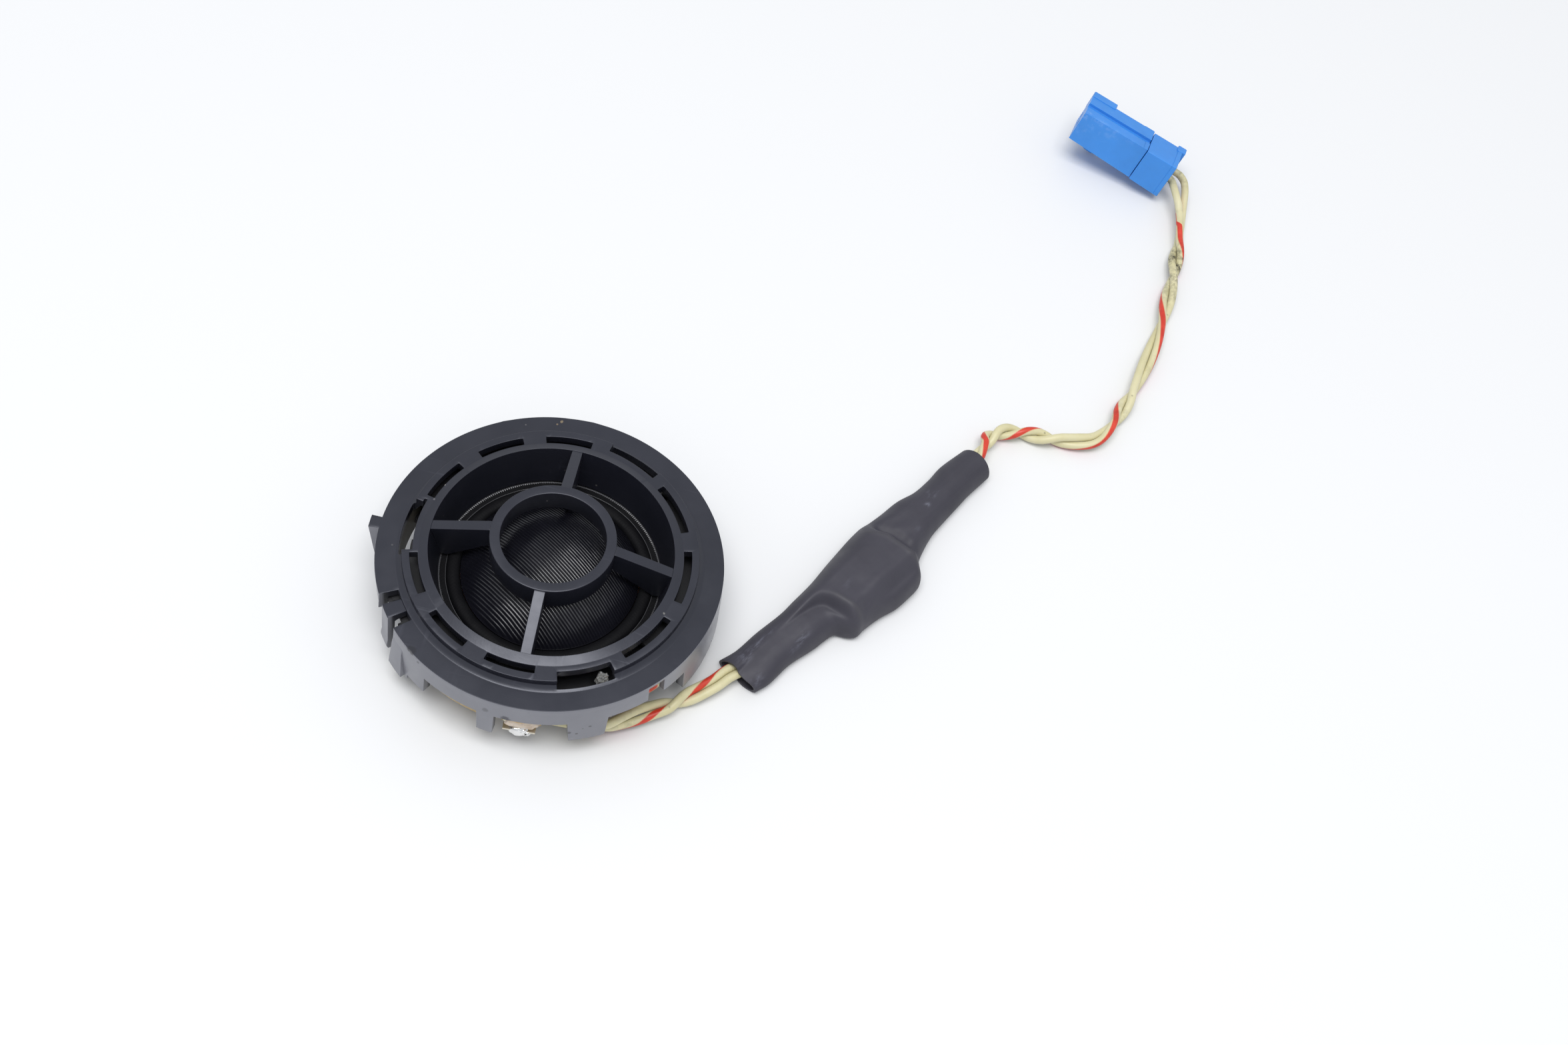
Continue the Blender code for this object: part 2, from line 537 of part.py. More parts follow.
# ---------------------------------------------------------------- connector: its own frame, nose raised and rolled
CN_ORIGIN = Vector((64.49, 121.16, 11.72))
CN_YAW, CN_PITCH, CN_ROLL = math.radians(-11.67), math.radians(10.66), math.radians(-12.79)
CN_L, CN_W, CN_H = 19.41, 7.6, 6.1       # length, width, height at the nose
CN_H_REAR = 6.85
CN_SPLIT = 13.2                          # nose length, ahead of the rear holder
CN_ROT = Matrix.Rotation(CN_YAW, 4, "Z") @ Matrix.Rotation(CN_PITCH, 4, "Y") @ Matrix.Rotation(CN_ROLL, 4, "X")
CN = Matrix.Translation(CN_ORIGIN * MM) @ CN_ROT
CAV_V = (2.15, 4.95)                     # the two contact cavities, across
CAV_W = -3.6                             # and below the top face


def cn_height(u):
    return CN_H + (CN_H_REAR - CN_H) * u / CN_L


def cn_hull(name, u0, u1, v0, v1, top, extra, mat):
    """A box whose underside falls away towards the rear."""
    bm = bmesh.new()
    vs = {}
    for i, u in enumerate((u0, u1)):
        for j, v in enumerate((v0, v1)):
            for k in (0, 1):
                w = top if k else -cn_height(u) - extra
                vs[i, j, k] = bm.verts.new((u * MM, v * MM, w * MM))
    for f in (((0, 0, 0), (0, 0, 1), (0, 1, 1), (0, 1, 0)), ((1, 0, 0), (1, 1, 0), (1, 1, 1), (1, 0, 1)),
              ((0, 0, 0), (1, 0, 0), (1, 0, 1), (0, 0, 1)), ((0, 1, 0), (0, 1, 1), (1, 1, 1), (1, 1, 0)),
              ((0, 0, 1), (1, 0, 1), (1, 1, 1), (0, 1, 1)), ((0, 0, 0), (0, 1, 0), (1, 1, 0), (1, 0, 0))):
        bm.faces.new([vs[q] for q in f])
    bmesh.ops.transform(bm, matrix=CN, verts=bm.verts[:])
    return finish(name, bm, mat)


nose = cn_hull("connector_housing", 0.0, CN_SPLIT, 0.0, CN_W - 0.3, 0.0, 0.0, BLUE)
add(nose, block("rail_tool", (0.02, CN_W - 1.0, -3.2), (4.9, 8.65, -0.02), None, CN))
add(nose, block("rail_tool", (4.0, CN_W - 1.0, -2.4), (11.2, 8.0, -0.5), None, CN))
cut(nose, block("groove_tool", (-1.0, 2.3, -0.45), (13.0, 3.95, 1.0), None, CN))
for v in CAV_V:
    cut(nose, block("cavity_tool", (1.0, v - 1.05, CAV_W - 1.05), (14.5, v + 1.05, CAV_W + 1.05), None, CN))
    cut(nose, block("mouth_tool", (-1.0, v - 0.6, CAV_W - 0.6), (2.0, v + 0.6, CAV_W + 0.6), None, CN))

holder = cn_hull("connector_rear_holder", CN_SPLIT + GAP, CN_L, -0.35, CN_W - 0.7, 0.05, 0.05, BLUE)
for v in CAV_V:
    cut(holder, block("cavity_tool", (12.0, v - 1.2, CAV_W - 1.25), (21.0, v + 1.2, CAV_W + 1.25), None, CN))

# lock arm on the underside, rooted at the rear and free at the nose; the pairs are (u, depth below the underside)
ARM = ((3.0, 0.9), (12.3, GAP), (12.3, 1.15), (6.6, 1.6), (5.4, 3.2), (3.8, 3.2), (3.0, 2.7))
arm = prism("connector_lock_arm", [(u, -cn_height(u) - d) for u, d in ARM], -1.6, 1.6, BLUE,
            CN @ Matrix.Translation(Vector((0, 5.2, 0)) * MM) @ Matrix.Rotation(math.pi / 2, 4, "X"))
arm_pivot = (CN @ (Vector((12.3, 5.2, -cn_height(12.3) - 0.7)) * MM)) / MM
hinge_empty("connector_lock_arm_pivot", arm_pivot, arm)

for n, v in enumerate(CAV_V):
    con = block("contact_%d" % (n + 1), (2.4, v - 0.72, CAV_W - 0.72), (9.6, v + 0.72, CAV_W + 0.72), BRASS, CN)
    add(con, block("barrel_tool", (9.0, v - 0.62, CAV_W - 0.62), (12.4, v + 0.62, CAV_W + 0.3), None, CN))
    cut(con, block("socket_tool", (2.0, v - 0.5, CAV_W - 0.5), (7.4, v + 0.5, CAV_W + 0.5), None, CN))

# ---------------------------------------------------------------- leads
def cn_point(u, v, w):
    return tuple((CN @ (Vector((u, v, w)) * MM)) / MM)


W = WIRE_D / 2 + GAP / 2 + 0.02          # each strand from the middle of the pair
CAV_MID = (CAV_V[0] + CAV_V[1]) / 2
CAV_HALF = (CAV_V[1] - CAV_V[0]) / 2
pair_lower = [polar(22.7, 303.0, 2.3) / MM, (14.6, -19.6, 2.2), (16.9, -16.7, 2.05), (19.7, -13.9, 1.8), (23.2, -10.9, 1.6),
              (25.9, -9.1, 1.65), (28.2, -7.0, 1.8), (30.0, -4.9, 1.85), sleeve_point(2.6, -0.2, 1.95), sleeve_point(6.0, -0.5, 2.15)]
low = ((0.0, -90.0, W + 0.25), (6.0, -90.0, W + 0.25), (12.0, -90.0, W), (1000.0, -90.0, W))
pair_upper = [sleeve_point(49.0, 0.1, 2.3), sleeve_point(53.5, 0.05, 2.3), (58.3, 45.2, 2.25), (59.2, 48.2, 2.1), (60.3, 51.3, 1.75),
              (63.2, 53.2, 1.55), (67.4, 53.8, 1.52), (70.9, 54.1, 1.52), (74.3, 54.8, 1.52), (77.1, 56.1, 1.52), (79.1, 58.9, 1.52),
              (80.7, 63.0, 1.52), (82.4, 68.7, 1.52), (84.2, 76.3, 1.52), (85.5, 84.0, 1.52), (86.3, 92.3, 1.52), (86.7, 100.0, 1.55),
              (86.8, 106.5, 1.7), (86.7, 111.5, 2.1), (86.3, 115.4, 2.9), cn_point(21.6, CAV_MID - 0.1, CAV_W), cn_point(19.4, CAV_MID, CAV_W),
              cn_point(17.0, CAV_MID, CAV_W), cn_point(15.2, CAV_MID, CAV_W)]
high = ((0.0, -90.0, W), (-15.0, -90.0, W), (-7.0, -102.8, CAV_HALF), (1000.0, -102.8, CAV_HALF))
STEP = 3.5                               # between a lead's points


def through(points):
    return [p for s, p in smooth_route(points, STEP)]


# the plain lead: terminal a to the first splice, then the second splice to contact 2
tube("lead_plain_lower", through(
    [polar(21.3, 281.0, 3.5) / MM, polar(21.4, 286.0, 3.2) / MM, polar(21.9, 294.0, 2.6) / MM] + strand(pair_lower, 1, low, STEP)[1:]
    + [sleeve_point(9.5, -2.0, 2.4), sleeve_point(12.6, -2.2, 2.5)]), WIRE_D, IVORY)
tube("lead_plain_upper", through(
    [sleeve_point(39.0, -2.2, 2.5), sleeve_point(42.5, -1.8, 2.4), sleeve_point(46.0, -1.0, 2.3)] + strand(pair_upper, 1, high, STEP)
    + [cn_point(12.8, CAV_V[1], CAV_W)]), WIRE_D, IVORY)
# the striped lead: terminal b, over and down behind the wire slot, into the pair, past the capacitor, to contact 1
tube("lead_striped", through(
    [polar(22.4, 313.6, 8.3) / MM, polar(22.4, 316.6, 9.2) / MM, polar(22.5, 320.0, 10.2) / MM, polar(22.5, 322.9, 9.4) / MM,
     polar(22.5, 323.8, 7.2) / MM, polar(22.3, 323.4, 4.9) / MM, polar(21.5, 320.0, 3.1) / MM, polar(20.3, 313.0, 2.4) / MM,
     polar(20.1, 306.5, 2.3) / MM] + strand(pair_lower, -1, low, STEP)[1:]
    + [sleeve_point(9.5, 0.9, 2.3), sleeve_point(14.0, 0.9, 2.5), sleeve_point(19.0, 0.95, 2.6), sleeve_point(26.0, 1.2, 2.7),
       sleeve_point(33.0, 1.3, 2.6), sleeve_point(40.0, 1.3, 2.4), sleeve_point(46.0, 1.0, 2.3)] + strand(pair_upper, -1, high, STEP)
    + [cn_point(12.8, CAV_V[0], CAV_W)]), WIRE_D, IVORY_RED)
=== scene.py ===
"""The looks of the car tweeter: its housing, dome, leads, capacitor sleeve and connector, on a plain pale floor.

Lengths in the tables below are millimetres in the row frame and are turned into metres as vertices are made.
"""

import bpy
import bmesh
import math
import numpy as np
from mathutils import Matrix, Vector, noise


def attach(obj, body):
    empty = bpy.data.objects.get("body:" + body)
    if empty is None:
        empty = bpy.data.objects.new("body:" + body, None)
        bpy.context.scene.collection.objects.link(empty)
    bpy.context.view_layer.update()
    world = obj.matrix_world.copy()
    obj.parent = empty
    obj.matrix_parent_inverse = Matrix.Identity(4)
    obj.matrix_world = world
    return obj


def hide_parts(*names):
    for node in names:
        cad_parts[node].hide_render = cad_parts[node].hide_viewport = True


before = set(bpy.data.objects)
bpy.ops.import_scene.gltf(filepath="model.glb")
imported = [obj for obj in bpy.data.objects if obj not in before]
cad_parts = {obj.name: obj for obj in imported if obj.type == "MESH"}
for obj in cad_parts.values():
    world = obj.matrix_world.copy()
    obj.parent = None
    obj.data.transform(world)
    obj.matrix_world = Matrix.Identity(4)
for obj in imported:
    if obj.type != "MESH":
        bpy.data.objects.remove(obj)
MM = 0.001
scene = bpy.context.scene
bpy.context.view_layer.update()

# ------------------------------------------------------------------ camera
CAM_POS = Vector((30.978, -140.041, 240.074)) * MM
CAM_X = Vector((0.96574, 0.21388, 0.14694))
CAM_UP = Vector((-0.25949, 0.79599, 0.54687))
CAM_BACK = Vector((0.0, -0.56626, 0.82423))
cam_data = bpy.data.cameras.new("camera")
cam_data.lens = 42.57
cam_data.sensor_width = 36.0
cam_data.sensor_fit = "HORIZONTAL"
cam_data.clip_start = 0.01
cam_data.clip_end = 20.0
cam = bpy.data.objects.new("camera", cam_data)
scene.collection.objects.link(cam)
rot = Matrix((CAM_X, CAM_UP, CAM_BACK)).transposed()
cam.matrix_world = Matrix.Translation(CAM_POS) @ rot.to_4x4()
scene.camera = cam

# ------------------------------------------------------------------ small mesh tools


def polar(r, deg, z=0.0):
    a = math.radians(deg)
    return Vector((r * math.cos(a), r * math.sin(a), z))


def link(name, mesh, mat=None, body="housing", smooth=True, sharp=30.0):
    ob = bpy.data.objects.new(name, mesh)
    scene.collection.objects.link(ob)
    if mat is not None:
        mesh.materials.clear()
        mesh.materials.append(mat)
    if smooth:
        mesh.shade_smooth()
        mesh.set_sharp_from_angle(angle=math.radians(sharp))
    if body:
        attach(ob, body)
    return ob


def mesh_from(name, verts, faces, recalc=True):
    """A mesh from millimetre points."""
    bm = bmesh.new()
    vs = [bm.verts.new(Vector(v) * MM) for v in verts]
    for f in faces:
        try:
            bm.faces.new([vs[i] for i in f])
        except ValueError:
            pass
    if recalc:
        bmesh.ops.recalc_face_normals(bm, faces=bm.faces[:])
    me = bpy.data.meshes.new(name)
    bm.to_mesh(me)
    bm.free()
    return me


def bevelled(ob, width, segments=2, angle=28.0, clamp=True, apply=True):
    """Rounds an object's edges and applies the result."""
    mod = ob.modifiers.new("edge", "BEVEL")
    mod.width = width * MM
    mod.segments = segments
    mod.limit_method = "ANGLE"
    mod.angle_limit = math.radians(angle)
    mod.use_clamp_overlap = clamp
    mod.miter_outer = "MITER_ARC"
    mod.harden_normals = False
    even = ob.modifiers.new("even", "WEIGHTED_NORMAL")
    even.mode = "FACE_AREA"
    even.weight = 90
    even.keep_sharp = False
    ob.data.shade_smooth()
    if apply:
        bake(ob, None)
    return ob


def bake(ob, sharp=30.0):
    """Applies an object's modifiers to its mesh."""
    bpy.context.view_layer.update()
    dg = bpy.context.evaluated_depsgraph_get()
    me = bpy.data.meshes.new_from_object(ob.evaluated_get(dg))
    old = ob.data
    ob.modifiers.clear()
    ob.data = me
    me.name = ob.name
    if old.users == 0:
        bpy.data.meshes.remove(old)
    if sharp is not None:
        me.shade_smooth()
        me.set_sharp_from_angle(angle=math.radians(sharp))
    return ob


def fillet(profile, radius, steps=3):
    """Rounds the corners of a closed (r, z) profile; radius may be a number or one for each point."""
    n = len(profile)
    radii = radius if isinstance(radius, (list, tuple)) else [radius] * n
    out = []
    for i in range(n):
        p, a, b = Vector(profile[i]), Vector(profile[i - 1]), Vector(profile[(i + 1) % n])
        r = radii[i]
        if r <= 0:
            out.append(tuple(p))
            continue
        d0, d1 = (a - p), (b - p)
        l0, l1 = d0.length, d1.length
        d0, d1 = d0.normalized(), d1.normalized()
        ang = d0.angle(d1)
        cutback = min(r / math.tan(ang / 2), 0.45 * l0, 0.45 * l1)
        s, e = p + d0 * cutback, p + d1 * cutback
        for k in range(steps + 1):
            t = k / steps
            out.append(tuple(s.lerp(p, t).lerp(p.lerp(e, t), t)))
    return out


def turned(name, profile, mat, steps=160, body="housing", sharp=30.0, replaces=None, centre=(0.0, 0.0)):
    """A turned solid from a closed profile of (radius, height)."""
    verts, rings, faces = [], [], []
    for r, z in profile:
        if r < 1e-6:
            rings.append([len(verts)])
            verts.append((centre[0], centre[1], z))
        else:
            rings.append(list(range(len(verts), len(verts) + steps)))
            verts += [(centre[0] + r * math.cos(2 * math.pi * k / steps), centre[1] + r * math.sin(2 * math.pi * k / steps), z) for k in range(steps)]
    n = len(rings)
    for i in range(n):
        a, b = rings[i], rings[(i + 1) % n]
        for k in range(steps):
            k2 = (k + 1) % steps
            if len(a) == 1 and len(b) == 1:
                continue
            if len(a) == 1:
                faces.append((a[0], b[k2], b[k]))
            elif len(b) == 1:
                faces.append((a[k], a[k2], b[0]))
            else:
                faces.append((a[k], a[k2], b[k2], b[k]))
    ob = link(name, mesh_from(name, verts, faces), mat, body, sharp=sharp)
    if replaces:
        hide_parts(*([replaces] if isinstance(replaces, str) else replaces))
    return ob


def cell_solid(name, nodes, cells, filled, marks, place, step=1.5, flat=0.05):
    """A solid from plane cells swept round Z.

    nodes are (r, z) points, cells are lists of node names, filled(cell, angle) says which cells hold material at an angle,
    marks are the angles where that changes, and place(node, angle) gives a node's point.
    """
    marks = sorted(set(round(m % 360.0, 4) for m in marks))
    angles = []
    for a, b in zip(marks, marks[1:] + [marks[0] + 360.0]):
        n = max(1, int(math.ceil((b - a) / step)))
        angles += [a + (b - a) * k / n for k in range(n)]
    count = len(angles)
    mids = [(angles[i] + (angles[(i + 1) % count] + (360.0 if i == count - 1 else 0.0))) / 2 for i in range(count)]
    full = {c: [bool(filled(c, m % 360.0)) for m in mids] for c in cells}
    edges = {}
    for c, loop in cells.items():
        for a, b in zip(loop, loop[1:] + loop[:1]):
            edges.setdefault(frozenset((a, b)), []).append((c, a, b))
    bm = bmesh.new()
    verts = {}

    def v(node, i):
        key = (node, i % count)
        if key not in verts:
            verts[key] = bm.verts.new(Vector(place(node, angles[i % count])) * MM)
        return verts[key]

    for group in edges.values():
        for i in range(count):
            solid = [g for g in group if full[g[0]][i]]
            if len(solid) == 1:
                c, a, b = solid[0]
                bm.faces.new((v(a, i), v(b, i), v(b, i + 1), v(a, i + 1)))
    caps = []
    for c, loop in cells.items():
        for i in range(count):
            if full[c][i - 1] != full[c][i]:
                caps.append(bm.faces.new([v(n, i) for n in loop]))
    bmesh.ops.recalc_face_normals(bm, faces=bm.faces[:])
    inner = set()
    chosen = set(caps)
    for f in caps:
        for e in f.edges:
            if len(e.link_faces) == 2 and all(g in chosen for g in e.link_faces):
                if e.link_faces[0].normal.dot(e.link_faces[1].normal) > 0.9995:
                    inner.add(e)
    bmesh.ops.dissolve_edges(bm, edges=list(inner), use_verts=False)
    me = bpy.data.meshes.new(name)
    bm.to_mesh(me)
    bm.free()
    return me


def box_complex(name, us, vs, ws, solid, place):
    """A solid from the boxes of a grid. solid(u, v, w) says whether the box round that middle holds material."""
    nu, nv, nw = len(us) - 1, len(vs) - 1, len(ws) - 1
    full = np.zeros((nu + 2, nv + 2, nw + 2), bool)
    for i in range(nu):
        for j in range(nv):
            for k in range(nw):
                full[i + 1, j + 1, k + 1] = solid((us[i] + us[i + 1]) / 2, (vs[j] + vs[j + 1]) / 2, (ws[k] + ws[k + 1]) / 2)
    bm = bmesh.new()
    verts = {}

    def v(i, j, k):
        if (i, j, k) not in verts:
            verts[i, j, k] = bm.verts.new(Vector(place(us[i], vs[j], ws[k])) * MM)
        return verts[i, j, k]

    for i in range(nu + 1):
        for j in range(nv + 1):
            for k in range(nw + 1):
                if j < nv and k < nw and full[i, j + 1, k + 1] != full[i + 1, j + 1, k + 1]:
                    bm.faces.new((v(i, j, k), v(i, j + 1, k), v(i, j + 1, k + 1), v(i, j, k + 1)))
                if i < nu and k < nw and full[i + 1, j, k + 1] != full[i + 1, j + 1, k + 1]:
                    bm.faces.new((v(i, j, k), v(i + 1, j, k), v(i + 1, j, k + 1), v(i, j, k + 1)))
                if i < nu and j < nv and full[i + 1, j + 1, k] != full[i + 1, j + 1, k + 1]:
                    bm.faces.new((v(i, j, k), v(i + 1, j, k), v(i + 1, j + 1, k), v(i, j + 1, k)))
    bmesh.ops.recalc_face_normals(bm, faces=bm.faces[:])
    bmesh.ops.dissolve_limit(bm, angle_limit=math.radians(0.4), verts=bm.verts[:], edges=bm.edges[:])
    me = bpy.data.meshes.new(name)
    bm.to_mesh(me)
    bm.free()
    return me


def smooth_route(points, spacing):
    """(length, point) pairs at an even spacing on a Catmull-Rom curve through the points."""
    pts = [Vector(p) for p in points]
    pts = [pts[0] * 2 - pts[1]] + pts + [pts[-1] * 2 - pts[-2]]
    dense = []
    for i in range(1, len(pts) - 2):
        p0, p1, p2, p3 = pts[i - 1:i + 3]
        t0 = 0.0
        t1 = t0 + math.sqrt((p1 - p0).length)
        t2 = t1 + math.sqrt((p2 - p1).length)
        t3 = t2 + math.sqrt((p3 - p2).length)
        for k in range(40):
            t = t1 + (t2 - t1) * k / 40.0
            a1 = p0 * ((t1 - t) / (t1 - t0)) + p1 * ((t - t0) / (t1 - t0))
            a2 = p1 * ((t2 - t) / (t2 - t1)) + p2 * ((t - t1) / (t2 - t1))
            a3 = p2 * ((t3 - t) / (t3 - t2)) + p3 * ((t - t2) / (t3 - t2))
            b1 = a1 * ((t2 - t) / (t2 - t0)) + a2 * ((t - t0) / (t2 - t0))
            b2 = a2 * ((t3 - t) / (t3 - t1)) + a3 * ((t - t1) / (t3 - t1))
            dense.append(b1 * ((t2 - t) / (t2 - t1)) + b2 * ((t - t1) / (t2 - t1)))
    dense.append(pts[-2].copy())
    lengths = [0.0]
    for a, b in zip(dense, dense[1:]):
        lengths.append(lengths[-1] + (b - a).length)
    count = max(2, int(round(lengths[-1] / spacing)))
    out, j = [], 0
    for k in range(count + 1):
        s = lengths[-1] * k / count
        while j < len(lengths) - 2 and lengths[j + 1] < s:
            j += 1
        f = (s - lengths[j]) / max(1e-9, lengths[j + 1] - lengths[j])
        out.append((s, dense[j].lerp(dense[j + 1], min(1.0, f))))
    return out


def ease(keys, x):
    """A smooth value from a table of (x, value)."""
    if x <= keys[0][0]:
        return keys[0][1]
    for (x0, y0), (x1, y1) in zip(keys, keys[1:]):
        if x <= x1:
            f = (x - x0) / (x1 - x0)
            return y0 + (y1 - y0) * f * f * (3 - 2 * f)
    return keys[-1][1]


def step(lo, hi, x):
    f = min(1.0, max(0.0, (x - lo) / (hi - lo)))
    return f * f * (3 - 2 * f)


# ------------------------------------------------------------------ materials


class Shader:
    """A material's node tree, built a call at a time."""

    def __init__(self, name, colour, roughness, **sockets):
        self.m = bpy.data.materials.new(name)
        self.m.use_nodes = True
        self.t = self.m.node_tree
        self.b = self.t.nodes["Principled BSDF"]
        self.b.inputs["Base Color"].default_value = (*colour, 1.0)
        self.b.inputs["Roughness"].default_value = roughness
        for key, value in sockets.items():
            self.b.inputs[key.replace("_", " ")].default_value = value
        self.m.diffuse_color = (*colour, 1.0)
        self.coord = self.node("ShaderNodeTexCoord")

    def node(self, kind, **values):
        n = self.t.nodes.new(kind)
        for k, v in values.items():
            setattr(n, k, v)
        return n

    def link(self, a, b):
        self.t.links.new(a, b)
        return b

    def mapping(self, scale=(1, 1, 1), rotation=(0, 0, 0), source=None):
        n = self.node("ShaderNodeMapping")
        n.inputs["Scale"].default_value = scale
        n.inputs["Rotation"].default_value = rotation
        self.link(source or self.coord.outputs["Object"], n.inputs["Vector"])
        return n.outputs["Vector"]

    def noise(self, scale, detail=3.0, rough=0.55, vector=None, distortion=0.0):
        n = self.node("ShaderNodeTexNoise")
        n.inputs["Scale"].default_value = scale
        n.inputs["Detail"].default_value = detail
        n.inputs["Roughness"].default_value = rough
        n.inputs["Distortion"].default_value = distortion
        self.link(vector or self.coord.outputs["Object"], n.inputs["Vector"])
        return n.outputs["Fac"]

    def cells(self, scale, vector=None, feature="F1", randomness=1.0):
        n = self.node("ShaderNodeTexVoronoi", feature=feature)
        n.inputs["Scale"].default_value = scale
        n.inputs["Randomness"].default_value = randomness
        self.link(vector or self.coord.outputs["Object"], n.inputs["Vector"])
        return n

    def ramp(self, fac, stops):
        n = self.node("ShaderNodeValToRGB")
        r = n.color_ramp
        while len(r.elements) > 1:
            r.elements.remove(r.elements[-1])
        for i, (pos, col) in enumerate(stops):
            e = r.elements[0] if i == 0 else r.elements.new(pos)
            e.position = pos
            c = (col, col, col, 1.0) if isinstance(col, (int, float)) else (*col, 1.0)
            e.color = c
        self.link(fac, n.inputs["Fac"])
        return n.outputs["Color"]

    def math(self, op, a, b=None, clamp=False):
        n = self.node("ShaderNodeMath", operation=op, use_clamp=clamp)
        for i, x in enumerate((a, b)):
            if x is None:
                continue
            if isinstance(x, (int, float)):
                n.inputs[i].default_value = x
            else:
                self.link(x, n.inputs[i])
        return n.outputs[0]

    def mix(self, fac, a, b, mode="MIX"):
        n = self.node("ShaderNodeMix", data_type="RGBA", blend_type=mode)
        ins = [s for s in n.inputs]
        f, ca, cb = n.inputs[0], ins[6], ins[7]
        for sock, x in ((f, fac), (ca, a), (cb, b)):
            if isinstance(x, (int, float)):
                sock.default_value = x if sock is f else (x, x, x, 1.0)
            elif isinstance(x, tuple):
                sock.default_value = (*x, 1.0)
            else:
                self.link(x, sock)
        return n.outputs[2]

    def attribute(self, name):
        n = self.node("ShaderNodeAttribute", attribute_name=name)
        return n.outputs["Fac"]

    def colour(self, out):
        self.link(out, self.b.inputs["Base Color"])

    def rough(self, out):
        self.link(out, self.b.inputs["Roughness"])

    def bump(self, height, strength=0.2, distance=0.0001, under=None):
        n = self.node("ShaderNodeBump")
        n.inputs["Strength"].default_value = strength
        n.inputs["Distance"].default_value = distance
        self.link(height, n.inputs["Height"])
        if under is not None:
            self.link(under, n.inputs["Normal"])
        return n.outputs["Normal"]

    def normal(self, out):
        self.link(out, self.b.inputs["Normal"])


def moulded_plastic(name, base, rough, fine=0.12, specks=0.5, ior=1.5, scratch=0.6, dust=(0.30, 0.29, 0.27), grain=2600.0, rim=()):
    """Moulded plastic: fine erosion texture, slow tone changes, hairline scuffs, and a little dust; given rim spots,
    also a painted floor reflection on the outer wall.
    """
    s = Shader(name, base, rough)
    s.b.inputs["IOR"].default_value = ior
    slow = s.noise(55.0, 4.0, 0.6)
    tone = s.ramp(slow, [(0.3, tuple(c * 0.86 for c in base)), (0.7, tuple(c * 1.16 for c in base))])
    if rim:
        # the outer wall is painted much lighter: a painted reflection of the pale floor on the skirt's sides
        xyz = s.node("ShaderNodeSeparateXYZ")
        s.link(s.coord.outputs["Object"], xyz.inputs[0])
        x, y = xyz.outputs[0], xyz.outputs[1]
        rad = s.math("SQRT", s.math("ADD", s.math("MULTIPLY", x, x), s.math("MULTIPLY", y, y)))
        nrm = s.node("ShaderNodeSeparateXYZ")
        s.link(s.coord.outputs["Normal"], nrm.inputs[0])
        wall = s.math("MULTIPLY", s.ramp(s.math("MULTIPLY", rad, 20.0), [(0.484, 0.0), (0.492, 1.0)]), s.ramp(nrm.outputs[2], [(0.30, 1.0), (0.62, 0.0)]))
        painted_floor_sheen = s.ramp(s.noise(130.0, 5.0, 0.62), [(0.25, (0.152, 0.153, 0.172)), (0.75, (0.192, 0.194, 0.214))])
        tone = s.mix(wall, tone, painted_floor_sheen)
        # knocks, glue marks, grit, and painted shade in the rim's notch, in fixed places: (x, y, z, radius, strength,
        # colour)
        for px, py, pz, reach, amount, col in rim:
            d = s.node("ShaderNodeVectorMath", operation="DISTANCE")
            s.link(s.coord.outputs["Object"], d.inputs[0])
            d.inputs[1].default_value = (px * 0.001, py * 0.001, pz * 0.001)
            wob = s.math("ADD", d.outputs["Value"], s.math("MULTIPLY", s.math("SUBTRACT", s.noise(1500.0, 4.0, 0.7), 0.5), reach * 0.0016))
            spot = s.ramp(s.math("MULTIPLY", wob, 1000.0 / (3.0 * reach)), [(0.24, amount), (0.36, 0.0)])
            tone = s.mix(spot, tone, col)
    # hairline scuffs: two stretched noises at different angles
    v1 = s.mapping((60.0, 1900.0, 900.0), (0.0, 0.0, 0.7))
    v2 = s.mapping((1500.0, 45.0, 900.0), (0.0, 0.0, -0.35))
    h1 = s.ramp(s.noise(1.0, 1.0, 0.4, v1), [(0.66, 0.0), (0.74, 1.0)])
    h2 = s.ramp(s.noise(1.0, 1.0, 0.4, v2), [(0.67, 0.0), (0.75, 1.0)])
    where = s.ramp(s.noise(120.0, 2.0, 0.5), [(0.5, 0.0), (0.7, 1.0)])
    hair = s.math("MULTIPLY", s.math("MAXIMUM", h1, h2), where)
    tone = s.mix(s.math("MULTIPLY", hair, 0.35 * scratch), tone, tuple(min(1.0, c * 3.2 + 0.02) for c in base))
    # dust: a few pale flecks
    cells = s.cells(420.0)
    near = s.ramp(cells.outputs["Distance"], [(0.035, 1.0), (0.075, 0.0)])
    pick = s.ramp(cells.outputs["Color"], [(0.80, 0.0), (0.86, 1.0)])
    fleck = s.math("MULTIPLY", near, pick)
    tone = s.mix(s.math("MULTIPLY", fleck, specks), tone, dust)
    s.colour(tone)
    r = s.ramp(s.noise(210.0, 3.0, 0.6), [(0.25, max(0.05, rough - 0.06)), (0.75, rough + 0.08)])
    s.rough(s.math("ADD", s.math("MULTIPLY", hair, 0.12), r))
    grainy = s.noise(grain, 2.0, 0.5)
    s.normal(s.bump(s.math("ADD", grainy, s.math("MULTIPLY", hair, -0.6)), fine, 0.00002))
    return s
